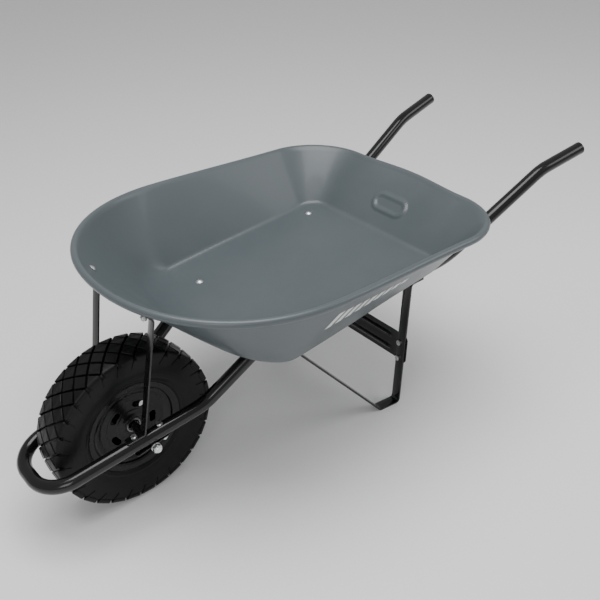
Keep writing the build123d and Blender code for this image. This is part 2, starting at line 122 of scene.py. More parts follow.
# %% camera
AZIMUTH, ELEVATION, ROLL = 51.398, 33.09, -1.882   # from +X towards +Y, above the floor, tilt
DISTANCE = 2.0766
TARGET = Vector((0, 0.0024, 0.300))
toward = Vector((cos(radians(AZIMUTH)) * cos(radians(ELEVATION)),
                 sin(radians(AZIMUTH)) * cos(radians(ELEVATION)), sin(radians(ELEVATION))))
camera_data = bpy.data.cameras.new("camera")
camera_data.lens = 49.54
camera_data.sensor_width = 36
camera_data.shift_x = 0.0059
camera_data.shift_y = 0.0013
camera_data.clip_end = 100
camera = bpy.data.objects.new("camera", camera_data)
bpy.context.scene.collection.objects.link(camera)
turn = toward.to_track_quat("Z", "Y").to_matrix() @ Matrix.Rotation(radians(ROLL), 3, "Z")
camera.matrix_world = Matrix.Translation(TARGET + toward * DISTANCE) @ turn.to_4x4()
bpy.context.scene.camera = camera
print("camera at", [round(v, 3) for v in camera.location])

# %% [markdown]
# ## Effects that several finishes share
# Real paint is never one flat colour: it has a fine orange peel, it wears thin on edges, and dust
# settles where it faces up. Each effect is a node group, built once, with its sizes as inputs.
# The groups put out masks and heights, and the shader itself stays in each material.

# %% node group helpers
def new_group(name, inputs, outputs):
    group = bpy.data.node_groups.new(name, "ShaderNodeTree")
    for label, value in inputs.items():
        socket = group.interface.new_socket(label, in_out="INPUT", socket_type="NodeSocketFloat")
        socket.default_value = value
    for label in outputs:
        group.interface.new_socket(label, in_out="OUTPUT", socket_type="NodeSocketFloat")
    return group, group.nodes.new("NodeGroupInput"), group.nodes.new("NodeGroupOutput")


def add(tree, kind, settings=None, **sockets):
    """Adds a node: its settings by name, its sockets by name with _ for a space."""
    node = tree.nodes.new(kind)
    for key, value in (settings or {}).items():
        setattr(node, key, value)
    for key, value in sockets.items():
        plug(tree, node, key.replace("_", " "), value)
    return node


def plug(tree, node, key, value):
    socket = node.inputs[int(key[1:])] if key[0] == "i" and key[1:].isdigit() else node.inputs[key]
    if isinstance(value, bpy.types.NodeSocket):
        tree.links.new(value, socket)
    else:
        socket.default_value = value


def maths(tree, operation, *values):
    node = tree.nodes.new("ShaderNodeMath")
    node.operation = operation
    for index, value in enumerate(values):
        plug(tree, node, f"i{index}", value)
    return node.outputs[0]


def spread(tree, value, low, high, to_low=0.0, to_high=1.0):
    """Maps low..high to to_low..to_high, and holds the ends."""
    node = add(tree, "ShaderNodeMapRange", Value=value, From_Min=low, From_Max=high,
               To_Min=to_low, To_Max=to_high)
    return node.outputs["Result"]


# %% edge wear
def make_edge_wear():
    group, given, result = new_group(
        "edge wear", {"Width": 0.002, "Amount": 0.5, "Grain": 90.0}, ["Mask"])
    place = add(group, "ShaderNodeTexCoord")
    rounded = add(group, "ShaderNodeBevel", {"samples": 4}, Radius=given.outputs["Width"])
    sharp = add(group, "ShaderNodeNewGeometry")
    dot = add(group, "ShaderNodeVectorMath", {"operation": "DOT_PRODUCT"},
              i0=rounded.outputs[0], i1=sharp.outputs["Normal"])
    edge = spread(group, dot.outputs["Value"], 0.985, 0.86)
    noise = add(group, "ShaderNodeTexNoise", Vector=place.outputs["Object"],
                Scale=given.outputs["Grain"], Detail=4.0, Roughness=0.65)
    broken = spread(group, noise.outputs["Fac"], 0.48, 0.62)
    mask = maths(group, "MULTIPLY", edge, maths(group, "MULTIPLY", broken, given.outputs["Amount"]))
    group.links.new(mask, result.inputs["Mask"])
    return group


EDGE_WEAR = make_edge_wear()


# %% orange peel
def make_orange_peel():
    group, given, result = new_group(
        "orange peel", {"Scale": 260.0, "Patch": 7.0}, ["Height", "Patches"])
    place = add(group, "ShaderNodeTexCoord")
    fine = add(group, "ShaderNodeTexNoise", Vector=place.outputs["Object"],
               Scale=given.outputs["Scale"], Detail=1.5, Roughness=0.4)
    wide = add(group, "ShaderNodeTexNoise", Vector=place.outputs["Object"],
               Scale=given.outputs["Patch"], Detail=3.0, Roughness=0.55)
    group.links.new(fine.outputs["Fac"], result.inputs["Height"])
    group.links.new(wide.outputs["Fac"], result.inputs["Patches"])
    return group


ORANGE_PEEL = make_orange_peel()


# %% dust
def make_dust():
    group, given, result = new_group("dust", {"Amount": 0.2, "Scale": 24.0}, ["Mask"])
    place = add(group, "ShaderNodeTexCoord")
    surface = add(group, "ShaderNodeNewGeometry")
    split = add(group, "ShaderNodeSeparateXYZ", Vector=surface.outputs["Normal"])
    facing_up = spread(group, split.outputs["Z"], 0.2, 1.0)
    cloud = add(group, "ShaderNodeTexNoise", Vector=place.outputs["Object"],
                Scale=given.outputs["Scale"], Detail=6.0, Roughness=0.7)
    patches = spread(group, cloud.outputs["Fac"], 0.42, 0.72)
    mask = maths(group, "MULTIPLY", maths(group, "MULTIPLY", facing_up, patches),
                 given.outputs["Amount"])
    group.links.new(mask, result.inputs["Mask"])
    return group


DUST = make_dust()
print("shared effects:", [g.name for g in (EDGE_WEAR, ORANGE_PEEL, DUST)])

# %% [markdown]
# ## The finishes
# Painted steel is a colour coat with a clear skin over it, so it is a dielectric base with some
# coat weight, and bare metal shows only where an edge has rubbed through. Zinc plate is a metal
# with a blotchy roughness. Rubber has no skin at all: it is rough, with a faint bloom and lighter rubbed edges.

# %% finish helpers
def new_finish(name):
    material = bpy.data.materials.new(name)
    material.use_nodes = True
    tree = material.node_tree
    return material, tree, tree.nodes["Principled BSDF"]


def effect(tree, group, **values):
    node = tree.nodes.new("ShaderNodeGroup")
    node.node_tree = group
    for key, value in values.items():
        plug(tree, node, key, value)
    return node


def blend_colour(tree, mask, under, over):
    node = add(tree, "ShaderNodeMix", {"data_type": "RGBA"})
    plug(tree, node, "i0", mask)
    for index, value in ((6, under), (7, over)):
        plug(tree, node, f"i{index}", value if isinstance(value, bpy.types.NodeSocket) else (*value, 1))
    return node.outputs[2]


# %% painted steel
def painted_steel(name, colour, deep, roughness, coat, peel_depth, wear, dust, specular=0.5):
    """colour and deep are the two ends of a faint mottle in the paint."""
    material, tree, shader = new_finish(name)
    peel = effect(tree, ORANGE_PEEL)
    rubbed = effect(tree, EDGE_WEAR, Amount=wear).outputs["Mask"]
    settled = effect(tree, DUST, Amount=dust).outputs["Mask"]
    mottle = spread(tree, peel.outputs["Patches"], 0.3, 0.7)
    paint = blend_colour(tree, mottle, deep, colour)
    dusty = blend_colour(tree, settled, paint, (0.30, 0.28, 0.25))
    bare = blend_colour(tree, rubbed, dusty, (0.42, 0.42, 0.43))
    tree.links.new(bare, shader.inputs["Base Color"])
    tree.links.new(maths(tree, "MULTIPLY", rubbed, 0.8), shader.inputs["Metallic"])
    rough = spread(tree, peel.outputs["Patches"], 0.3, 0.7, roughness - 0.05, roughness + 0.06)
    rough = maths(tree, "ADD", rough, maths(tree, "MULTIPLY", settled, 0.4))
    tree.links.new(rough, shader.inputs["Roughness"])
    shader.inputs["Coat Weight"].default_value = coat
    shader.inputs["Coat Roughness"].default_value = 0.10
    shader.inputs["Specular IOR Level"].default_value = specular
    bump = add(tree, "ShaderNodeBump", Strength=0.25, Distance=peel_depth, Height=peel.outputs["Height"])
    tree.links.new(bump.outputs["Normal"], shader.inputs["Normal"])
    return material


TRAY_ENAMEL = painted_steel("grey_tray_enamel", (0.082, 0.099, 0.107), (0.076, 0.093, 0.101),
                            0.36, 0.14, 0.0003, 0.25, 0.02)
BLACK_ENAMEL = painted_steel("black_frame_enamel", (0.0055, 0.0055, 0.006), (0.004, 0.004, 0.0045),
                             0.15, 0.22, 0.0002, 0.25, 0.005, 0.36)
WHEEL_ENAMEL = painted_steel("black_wheel_enamel", (0.005, 0.005, 0.0055), (0.0035, 0.0035, 0.004),
                             0.26, 0.08, 0.0003, 0.2, 0.006, 0.25)


# %% zinc plate
def plated_steel(name, colour, roughness):
    material, tree, shader = new_finish(name)
    place = add(tree, "ShaderNodeTexCoord")
    spangle = add(tree, "ShaderNodeTexVoronoi", Vector=place.outputs["Object"], Scale=420.0)
    fine = add(tree, "ShaderNodeTexNoise", Vector=place.outputs["Object"], Scale=900.0, Detail=3.0)
    dull = tuple(0.72 * v for v in colour)
    tint = spread(tree, spangle.outputs["Distance"], 0.1, 0.8)
    tree.links.new(blend_colour(tree, tint, colour, dull), shader.inputs["Base Color"])
    shader.inputs["Metallic"].default_value = 1.0
    rough = spread(tree, fine.outputs["Fac"], 0.3, 0.7, roughness - 0.08, roughness + 0.10)
    tree.links.new(rough, shader.inputs["Roughness"])
    bump = add(tree, "ShaderNodeBump", Strength=0.2, Distance=0.0001, Height=fine.outputs["Fac"])
    tree.links.new(bump.outputs["Normal"], shader.inputs["Normal"])
    return material


ZINC = plated_steel("zinc_plate", (0.86, 0.87, 0.88), 0.30)
# Dark steel for the bearings, the axle sleeve and the rim wire: they sit in shade inside the hub and the tyre, and
# this dark colour paints that shade into the metal.
SHADE_DARKENED_STEEL = plated_steel("oiled_steel", (0.20, 0.20, 0.20), 0.34)


# %% rubber and plastic
def moulded(name, colour, worn, roughness, grain, depth, specular=0.5):
    material, tree, shader = new_finish(name)
    place = add(tree, "ShaderNodeTexCoord")
    pores = add(tree, "ShaderNodeTexNoise", Vector=place.outputs["Object"], Scale=grain,
                Detail=5.0, Roughness=0.7)
    wide = add(tree, "ShaderNodeTexNoise", Vector=place.outputs["Object"], Scale=14.0,
               Detail=4.0, Roughness=0.6)
    rubbed = effect(tree, EDGE_WEAR, Amount=0.6, Width=0.0015, Grain=60.0).outputs["Mask"]
    bloom = spread(tree, wide.outputs["Fac"], 0.40, 0.70, 0.0, 0.55)
    tint = blend_colour(tree, maths(tree, "MAXIMUM", bloom, rubbed), colour, worn)
    tree.links.new(tint, shader.inputs["Base Color"])
    rough = spread(tree, pores.outputs["Fac"], 0.3, 0.7, roughness - 0.06, roughness + 0.08)
    tree.links.new(rough, shader.inputs["Roughness"])
    shader.inputs["Specular IOR Level"].default_value = specular
    bump = add(tree, "ShaderNodeBump", Strength=0.35, Distance=depth, Height=pores.outputs["Fac"])
    tree.links.new(bump.outputs["Normal"], shader.inputs["Normal"])
    return material


TYRE_RUBBER = moulded("tyre_rubber", (0.004, 0.004, 0.0044), (0.008, 0.008, 0.008), 0.38, 420.0, 0.0002, 0.19)
TUBE_RUBBER = moulded("soft_rubber", (0.005, 0.005, 0.005), (0.010, 0.010, 0.010), 0.60, 600.0, 0.0002, 0.25)
CAP_PLASTIC = moulded("black_plastic", (0.014, 0.014, 0.014), (0.030, 0.030, 0.030), 0.45, 800.0, 0.0002)
print("finishes:", sorted(m.name for m in bpy.data.materials))

# %% [markdown]
# ## Mesh helpers
# Three ways of making steel parts cover almost all of a barrow: turning a profile about an axis,
# bending a flat bar along a route, and bending a tube along one. Each is a short helper.

# %% pieces from points and faces
def new_piece(name, points, faces, material, smooth_below=40):
    """A mesh object at the origin, welded, facing outwards and smooth up to an angle."""
    mesh = bpy.data.meshes.new(name)
    mesh.from_pydata([tuple(p) for p in points], [], faces)
    weld(mesh)
    return show(name, mesh, material, smooth_below)


def weld(mesh):
    work = bmesh.new()
    work.from_mesh(mesh)
    bmesh.ops.remove_doubles(work, verts=work.verts, dist=0.00001)
    bmesh.ops.recalc_face_normals(work, faces=work.faces)
    work.to_mesh(mesh)
    work.free()


def show(name, mesh, material, smooth_below=40):
    mesh.shade_smooth()
    mesh.set_sharp_from_angle(angle=radians(smooth_below))
    mesh.materials.clear()
    mesh.materials.append(material)
    piece = bpy.data.objects.new(name, mesh)
    bpy.context.scene.collection.objects.link(piece)
    return piece


def stand_for(piece, body, slot, *names):
    """The piece rides on a body and is shown in place of these design nodes."""
    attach(piece, body)
    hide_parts(*names)
    print(piece.name, len(piece.data.polygons), "faces")
    return piece


def tube_faces(rings, around, close_rings=False):
    """Quads between rings of points, and flat ends unless the rings close on themselves."""
    faces = []
    for k in range(rings if close_rings else rings - 1):
        a, b = k * around, (k + 1) % rings * around
        faces += [(a + i, a + (i + 1) % around, b + (i + 1) % around, b + i) for i in range(around)]
    if not close_rings:
        faces += [tuple(range(around)), tuple(range((rings - 1) * around, rings * around))]
    return faces


# %% turned pieces
def turned(name, profile, material, steps=96, place=None, smooth_below=40):
    """Turns a closed (radius, along) profile about the Z axis of a place."""
    place = place or Matrix.Identity(4)
    points = []
    for k in range(steps):
        a = 2 * pi * k / steps
        points += [place @ Vector((r * cos(a), r * sin(a), h)) for r, h in profile]
    return new_piece(name, points, tube_faces(steps, len(profile), True), material, smooth_below)


AXLE_PLACE = Matrix.Translation(axle) @ Matrix.Rotation(-pi / 2, 4, "X")


def rounded(profile, size, steps=4):
    """Replaces each corner of a closed profile by a small round of this size."""
    result = []
    for k, (x, y) in enumerate(profile):
        here = Vector((x, y))
        ends = []
        for other in (profile[k - 1], profile[(k + 1) % len(profile)]):
            step = Vector(other) - here
            ends.append(here + step.normalized() * min(size, 0.45 * step.length))
        for i in range(steps + 1):
            t = i / steps
            p = (1 - t) ** 2 * ends[0] + 2 * t * (1 - t) * here + t ** 2 * ends[1]
            result.append((p.x, p.y))
    return result


# %% bent flat bar
def bend_route(points, radius, steps=8):
    """Points of a route with each corner turned into an arc."""
    points = [Vector(p) for p in points]
    route = [points[0]]
    for before, here, after in zip(points, points[1:], points[2:]):
        a, b = (before - here).normalized(), (after - here).normalized()
        half = a.angle(b) / 2
        reach = min(radius / tan(half), 0.48 * (before - here).length, 0.48 * (after - here).length)
        arc = reach * tan(half)
        centre = here + (a + b).normalized() * (arc / sin(half))
        first, last = here + a * reach - centre, here + b * reach - centre
        full = first.angle(last)
        for k in range(steps + 1):
            t = k / steps
            route.append(centre + (first * sin((1 - t) * full) + last * sin(t * full)) / sin(full))
    return route + [points[-1]]


def rounded_oblong(width, thick, size=0.0008):
    corners = [(-width / 2, -thick / 2), (width / 2, -thick / 2),
               (width / 2, thick / 2), (-width / 2, thick / 2)]
    return rounded(corners, size, 2)


def ease_ends(route, reach, steps=6):
    """Adds points near both ends, and gives how wide the bar is at every point."""
    first, last = (route[1] - route[0]), (route[-2] - route[-1])
    head, tail = first.normalized(), last.normalized()
    cuts = [reach * (1 - cos(k / steps * pi / 2)) for k in range(steps)]
    start = [route[0] + head * c for c in cuts]
    end = [route[-1] + tail * c for c in reversed(cuts)]
    narrow = [reach * (1 - sqrt(max(0.0, 1 - (1 - c / reach) ** 2))) for c in cuts]
    full = start + route[1:-1] + end
    trims = narrow + [0.0] * (len(route) - 2) + narrow[::-1]
    return full, trims


def flat_bar(name, route, side, width, thick, material, round_ends=0.004):
    """A flat bar along a route that lies in one plane; side is square to that plane."""
    route, trims = ease_ends(route, round_ends)
    points = []
    for k, here in enumerate(route):
        ahead = (route[min(k + 1, len(route) - 1)] - route[max(k - 1, 0)]).normalized()
        up = ahead.cross(side)
        section = rounded_oblong(width - 2 * trims[k], thick)
        points += [here + side * s + up * t for s, t in section]
    return new_piece(name, points, tube_faces(len(route), len(section)), material, 50)


def mirrored(piece, name):
    """A copy of a left piece on the right side."""
    mesh = piece.data.copy()
    mesh.transform(Matrix.Scale(-1, 4, (0, 1, 0)))
    mesh.flip_normals()
    copy = bpy.data.objects.new(name, mesh)
    bpy.context.scene.collection.objects.link(copy)
    return copy


def both_sides(piece, body, slot, node):
    """Shows a left piece and its mirror image for the left and the right node."""
    right = mirrored(piece, f"right_{piece.name}")
    piece.name = f"left_{piece.name}"
    stand_for(piece, body, slot, f"left_{node}")
    stand_for(right, body, slot, f"right_{node}")


# %% [markdown]
# ## Geometry Nodes helper
# A node tree is a small machine that anyone can set again: its sizes are named inputs. The result
# is turned into a plain mesh at once, so the finished scene holds no live trees.

# %% build and apply a tree
def geometry_tree(name, inputs):
    tree = bpy.data.node_groups.new(name, "GeometryNodeTree")
    tree.interface.new_socket("Geometry", in_out="INPUT", socket_type="NodeSocketGeometry")
    for label, kind in inputs.items():
        tree.interface.new_socket(label, in_out="INPUT", socket_type=kind)
    tree.interface.new_socket("Geometry", in_out="OUTPUT", socket_type="NodeSocketGeometry")
    return tree, tree.nodes.new("NodeGroupInput"), tree.nodes.new("NodeGroupOutput")


def finish_tree(tree, geometry, given, result):
    """Every tree ends in real geometry that carries its material."""
    real = add(tree, "GeometryNodeRealizeInstances", Geometry=geometry)
    dressed = add(tree, "GeometryNodeSetMaterial", Geometry=real.outputs[0],
                  Material=given.outputs["Material"])
    tree.links.new(dressed.outputs[0], result.inputs[0])


def apply_tree(name, data, tree, values, smooth_below=40):
    """Runs a tree once on a mesh or a curve and keeps the plain mesh."""
    source = bpy.data.objects.new(name + "_source", data)
    bpy.context.scene.collection.objects.link(source)
    modifier = source.modifiers.new("build", "NODES")
    modifier.node_group = tree
    for item in tree.interface.items_tree:
        if item.in_out == "INPUT" and item.name in values:
            modifier[item.identifier] = values[item.name]
    graph = bpy.context.evaluated_depsgraph_get()
    mesh = bpy.data.meshes.new_from_object(source.evaluated_get(graph), depsgraph=graph)
    bpy.data.objects.remove(source)
    mesh.name = name
    weld(mesh)
    return show(name, mesh, values["Material"], smooth_below)


# %% [markdown]
# ## The bent tube
# One 32 mm tube runs from one handle, round the front of the wheel, to the other handle. It could
# be a bevelled curve, but a Geometry Nodes tree makes each bend with its own radius from the plain
# corner points, as a tube bender does, so the corners stay few and easy to read.

# %% corners of the tube
AXLE_HEIGHT = axle.z
TUBE_R = 16 * MM
HALF_GAUGE = 110 * MM
TAPER = radians(6.94)
SPREAD = tan(TAPER)
WHEEL_RUN_FALL = radians(11.2)
AXLE_R = 7.5 * MM
HANDLE_TIP = (-1.252, 0.573)
HANDLE_BEND = (-1.116, 0.547)
TRAY_REAR = (-0.812, 0.3895)
TRAY_FRONT = (-0.275, 0.3435)
DROP_END = -0.131
NOSE = 0.239
BENDS = [0.150, 0.220, 0.110, 0.130, 0.075]
FLOOR_SLOPE = (TRAY_REAR[1] - TRAY_FRONT[1]) / (TRAY_FRONT[0] - TRAY_REAR[0])


def tube_y(ahead):
    return HALF_GAUGE - SPREAD * ahead


def run_z(ahead):
    """Tube centre beside the wheel."""
    return AXLE_HEIGHT + (TUBE_R + AXLE_R) / cos(WHEEL_RUN_FALL) - tan(WHEEL_RUN_FALL) * ahead


def under_tray_z(ahead):
    """Tube centre under the tray."""
    return TRAY_REAR[1] - FLOOR_SLOPE * (ahead - TRAY_REAR[0])


def on_side(ahead, height):
    """A point of the left side's upright plane; ahead is measured from the axle."""
    return Vector((axle.x + ahead, tube_y(ahead), height))


side_corners = [on_side(*p) for p in (HANDLE_TIP, HANDLE_BEND, TRAY_REAR, TRAY_FRONT)]
side_corners += [on_side(a, run_z(a)) for a in (DROP_END, NOSE)]
tube_corners = side_corners + [Vector((p.x, -p.y, p.z)) for p in reversed(side_corners)]
print(len(tube_corners), "corners in the tube")


# %% tube tree
def make_tube_tree():
    tree, given, result = geometry_tree("bent tube", {
        "Radius": "NodeSocketFloat", "Bend Steps": "NodeSocketInt",
        "Section Steps": "NodeSocketInt", "Material": "NodeSocketMaterial"})
    bend = add(tree, "GeometryNodeInputRadius")
    fillet = add(tree, "GeometryNodeFilletCurve", {"mode": "POLY"}, Curve=given.outputs["Geometry"],
                 Radius=bend.outputs[0], Limit_Radius=True, Count=given.outputs["Bend Steps"])
    even = add(tree, "GeometryNodeSetCurveRadius", Curve=fillet.outputs[0], Radius=1.0)
    section = add(tree, "GeometryNodeCurvePrimitiveCircle", {"mode": "RADIUS"},
                  Resolution=given.outputs["Section Steps"], Radius=given.outputs["Radius"])
    skin = add(tree, "GeometryNodeCurveToMesh", Curve=even.outputs[0],
               Profile_Curve=section.outputs[0], Fill_Caps=True)
    finish_tree(tree, skin.outputs[0], given, result)
    return tree


def corner_curve(name, points, bends):
    """A curve of plain corners; each point's radius holds the radius of its bend."""
    curve = bpy.data.curves.new(name, "CURVE")
    curve.dimensions = "3D"
    spline = curve.splines.new("POLY")
    spline.points.add(len(points) - 1)
    for point, place in zip(spline.points, points):
        point.co = (*place, 1)
    for point, bend in zip(spline.points, bends):
        point.radius = bend
    return curve


# %% frame tube
tube = apply_tree("bent_frame_tube", corner_curve("tube_corners", tube_corners, [0] + BENDS + BENDS[::-1] + [0]),
                  make_tube_tree(), {"Radius": TUBE_R, "Bend Steps": 24, "Section Steps": 40,
                                     "Material": BLACK_ENAMEL})
stand_for(tube, "frame", "frame_paint", "frame_tube")

# %% [markdown]
# ## Handle caps
# A push-in plastic plug closes each end of the tube. It has a domed face and a thin lip that sits
# on the cut end, so it is turned from one profile about the tube's own line.

# %% handle caps
def place_on(point, direction):
    """A place at a point whose Z axis runs along a direction."""
    return Matrix.Translation(point) @ direction.to_track_quat("Z", "Y").to_matrix().to_4x4()


CAP_LIP = 5 * MM
tip, bend = tube_corners[0], tube_corners[1]
cap_face = place_on(tip, tip - bend)
dome = [(TUBE_R * cos(a), CAP_LIP * (0.2 + 0.8 * sin(a)) - CAP_LIP) for a in
        [radians(k * 7.5) for k in range(12)]]
cap_profile = [(0.00005, -0.020), (TUBE_R - 2.2 * MM, -0.020), (TUBE_R - 2.2 * MM, -CAP_LIP),
               (TUBE_R + 0.3 * MM, -CAP_LIP)] + dome + [(0.00005, 0.0)]
cap = turned("handle_cap", cap_profile, CAP_PLASTIC, 48, cap_face)
both_sides(cap, "frame", "cap_plastic", "handle_cap")

# %% [markdown]
# ## The pressed tray
# The tray is drawn from one sheet: a flat floor, walls that lean out, and an edge rolled round a
# wire. Its shape follows a rule. At every level between floor and rim the outline is a bowed rear
# edge, two round corners, two long sides and one wide super-ellipse round the front, and only
# their sizes change with the level. So a loop makes the rings, which keeps the sheet smooth where
# modelling by hand would leave dents, and the same rule places the pressed mark on the rear wall.

# %% sizes of the tray
FLOOR_REAR, FLOOR_FRONT, FLOOR_HALF_WIDTH, FLOOR_WIDEST = -0.772, -0.203, 0.254, -0.300
RIM_REAR, RIM_FRONT, RIM_HALF_WIDTH, RIM_WIDEST = -0.8873, 0.0133, 0.3573, -0.342
REAR_NARROWER = 0.010
RIM_HEIGHT, RIM_RISE = 0.5183, 0.044
REAR_BOW = 0.015
FLOOR_CORNER, RIM_CORNER = 0.060, 0.160
FLOOR_POWER, RIM_POWER = 2.9, 2.15
FOOT = {"rear": 0.024, "side": 0.020, "front": 0.170}
RIM_R = 8.6 * MM
SHEET = 1.7 * MM
COLUMNS = {"rear": 70, "corner": 22, "side": 22, "front": 52}


def mix(low, high, share):
    return low + (high - low) * share


def ease(share):
    return 0.5 - 0.5 * cos(pi * min(max(share, 0), 1))


def floor_z(ahead):
    """Underside of the tray floor, on top of the tube."""
    return under_tray_z(ahead) + TUBE_R * sqrt(1 + FLOOR_SLOPE ** 2)


def rim_z(ahead):
    return RIM_HEIGHT + RIM_RISE * (ahead - RIM_REAR)


def wall_run(height, angle, radius):
    """How far a wall stands outside its corner with the floor, at a height above the floor."""
    if height >= radius * (1 - cos(angle)):
        return height / tan(angle)
    return sqrt(radius ** 2 - (radius - height) ** 2) - radius * tan(angle / 2)


def reach(level, corner, rim, name, where):
    rise = rim_z(where) - floor_z(where)
    return wall_run(level * rise, atan(rise / abs(rim - corner)), FOOT[name])


# %% one outline
def nose_power(level):
    """Exponent of the super-ellipse: squarer at the floor than at the rim."""
    return mix(FLOOR_POWER, RIM_POWER, level)


def half_outline(level, inset=0.0):
    """(ahead, aside) from the rear middle round the left side to the front middle."""
    rear = FLOOR_REAR - reach(level, FLOOR_REAR, RIM_REAR, "rear", FLOOR_REAR - 0.060) + inset
    front = FLOOR_FRONT + reach(level, FLOOR_FRONT, RIM_FRONT, "front", FLOOR_FRONT + 0.120) - inset
    side = FLOOR_HALF_WIDTH + reach(level, FLOOR_HALF_WIDTH, RIM_HALF_WIDTH, "side", -0.5) - inset
    side_rear = side - REAR_NARROWER
    corner = mix(FLOOR_CORNER, RIM_CORNER, level)
    widest = mix(FLOOR_WIDEST, RIM_WIDEST, level)
    flat = side_rear - corner
    half = []
    for k in range(COLUMNS["rear"]):
        share = k / COLUMNS["rear"]
        half.append((rear - REAR_BOW * level * cos(pi / 2 * share) ** 2, flat * share))
    for k in range(COLUMNS["corner"]):
        a = pi / 2 * k / COLUMNS["corner"]
        half.append((rear + corner * (1 - cos(a)), flat + corner * sin(a)))
    for k in range(COLUMNS["side"]):
        share = k / COLUMNS["side"]
        half.append((mix(rear + corner, widest, share), mix(side_rear, side, ease(share))))
    power = 2 / nose_power(level)
    for k in range(COLUMNS["front"] + 1):
        a = pi / 2 * k / COLUMNS["front"]
        half.append((widest + (front - widest) * sin(a) ** power, side * max(cos(a), 0) ** power))
    return half


def outline(level, inset=0.0, lift=0.0):
    """The closed ring of points at a level."""
    half = half_outline(level, inset)
    ring = half + [(x, -y) for x, y in reversed(half[1:-1])]
    return [Vector((axle.x + x, y, mix(floor_z(x), rim_z(x), level) + lift)) for x, y in ring]


AROUND = len(outline(0))
print(AROUND, "columns round the tray")

# %% rings of the sheet
WALL_ROWS = 46
FLOOR_ROWS = 12
ROLL_ROWS = 16
ROLL_TURN = radians(285)
FLOOR_CENTRE = (FLOOR_REAR + FLOOR_FRONT) / 2
WALL_INSET = RIM_R - 0.5 * MM


def floor_rings():
    """Rings that shrink towards the middle of the floor, outermost last."""
    edge = half_outline(0)
    ring = edge + [(x, -y) for x, y in reversed(edge[1:-1])]
    rows = []
    for k in range(FLOOR_ROWS):
        share = sin(pi / 2 * (k + 0.5) / FLOOR_ROWS)
        row = [(FLOOR_CENTRE + (x - FLOOR_CENTRE) * share, y * share) for x, y in ring]
        rows.append([Vector((axle.x + x, y, floor_z(x))) for x, y in row])
    return rows


def wall_levels():
    """Closer together at the foot, where the wall curves up from the floor."""
    return [(k / WALL_ROWS) ** 1.35 for k in range(WALL_ROWS + 1)]


def rolled_rings(below, top):
    """The edge rolled outwards and down round the rim wire."""
    centre = outline(1.0)
    radius = RIM_R - SHEET
    rows = []
    for k in range(ROLL_ROWS):
        ring = []
        for i, middle in enumerate(centre):
            along = centre[(i + 1) % AROUND] - centre[i - 1]
            out = Vector((along.y, -along.x, 0)).normalized()
            if out.dot(middle - Vector((axle.x + FLOOR_CENTRE, 0, middle.z))) < 0:
                out = -out
            climb = top[i] - below[i]
            lean = atan2(climb.z, climb.dot(out))
            a = lean + pi / 2 - ROLL_TURN * k / (ROLL_ROWS - 1)
            ring.append(middle + out * radius * cos(a) + Vector((0, 0, radius * sin(a))))
        rows.append(ring)
    return rows


# %% [markdown]
# ### The pressed mark
# The rear wall carries a shape that the press raised into the tray. Here it is a plain oblong ring
# with round ends, with no meaning. It is a height over the wall, with soft flanks, so it is pressed
# through the sheet and shows on both faces.

# %% pressed mark
MARK_LEVEL = 0.43
MARK_HALF_LENGTH, MARK_HALF_HEIGHT = 0.058, 0.027
MARK_BEAD, MARK_FLANK, MARK_RISE = 0.0065, 0.0045, 0.0034


def mark_rise(aside, up):
    """Height of the pressed ring at a place on the wall, measured from the ring's middle."""
    straight = MARK_HALF_LENGTH - MARK_HALF_HEIGHT
    from_spine = hypot(max(abs(aside) - straight, 0), up)
    off = abs(from_spine - MARK_HALF_HEIGHT + MARK_BEAD)
    return MARK_RISE * (1 - ease((off - MARK_BEAD / 2) / MARK_FLANK))


def press_mark(rows):
    """Moves the rear wall's points into the tray by the mark's height."""
    middle = outline(MARK_LEVEL, WALL_INSET * MARK_LEVEL)[0]
    top, low = rows[-1][0], rows[len(rows) // 2][0]
    up = (top - low).normalized()
    inward = Vector((-up.z, 0, up.x)) if up.x > 0 else Vector((up.z, 0, -up.x))
    for row in rows:
        for i in list(range(COLUMNS["rear"])) + list(range(AROUND - COLUMNS["rear"], AROUND)):
            offset = row[i] - middle
            row[i] += inward * mark_rise(offset.y, offset.dot(up))


# %% tray sheet
def tray_sheet():
    walls = [outline(v, WALL_INSET * v) for v in wall_levels()]
    roll = rolled_rings(walls[-4], walls[-1])
    press_mark(walls)
    rows = floor_rings() + walls + roll
    points = [p for row in rows for p in row]
    middle = len(points)
    points.append(Vector((axle.x + FLOOR_CENTRE, 0, floor_z(FLOOR_CENTRE))))
    faces = [f for f in tube_faces(len(rows), AROUND) if len(f) == 4]
    faces += [(middle, (i + 1) % AROUND, i) for i in range(AROUND)]
    mesh = bpy.data.meshes.new("pressed_tray")
    mesh.from_pydata([tuple(p) for p in points], [], faces)
    weld(mesh)
    if mesh.polygons[0].normal.z < 0:
        mesh.flip_normals()
    return mesh


tray = show("pressed_tray", tray_sheet(), TRAY_ENAMEL, 60)
wall = tray.modifiers.new("sheet", "SOLIDIFY")
wall.thickness = SHEET
wall.offset = 1.0
stand_for(tray, "frame", "tray_paint", "tray")

# %% [markdown]
# ## Flat-bar legs and braces
# Each leg is one flat bar: a flange under the tube, a strut down, a foot on the ground and a
# second strut up again. A brace runs from the tube beside the axle to the front wall. A bar is
# bent, so its section is carried along a route with round bends, and its ends are cut round.

# %% places on the left side
def side_place(ahead, height, tilt=0.0, aside=0.0):
    """A place in the left side's upright plane, its Z axis tipped forwards by the tilt."""
    side = Matrix.Translation((axle.x, HALF_GAUGE, 0)) @ Matrix.Rotation(-TAPER, 4, "Z")
    spot = Matrix.Translation((ahead / cos(TAPER), aside, height))
    return side @ spot @ Matrix.Rotation(tilt, 4, "Y")


def run_place(ahead):
    """On the tube centre beside the wheel, its Z square to the tube."""
    return side_place(ahead, run_z(ahead), atan(tan(WHEEL_RUN_FALL) * cos(TAPER)))


def floor_place(ahead):
    """On the tube centre under the tray, its Z square to the floor."""
    spot = Matrix.Translation(on_side(ahead, under_tray_z(ahead)))
    return spot @ Matrix.Rotation(atan(FLOOR_SLOPE), 4, "Y")


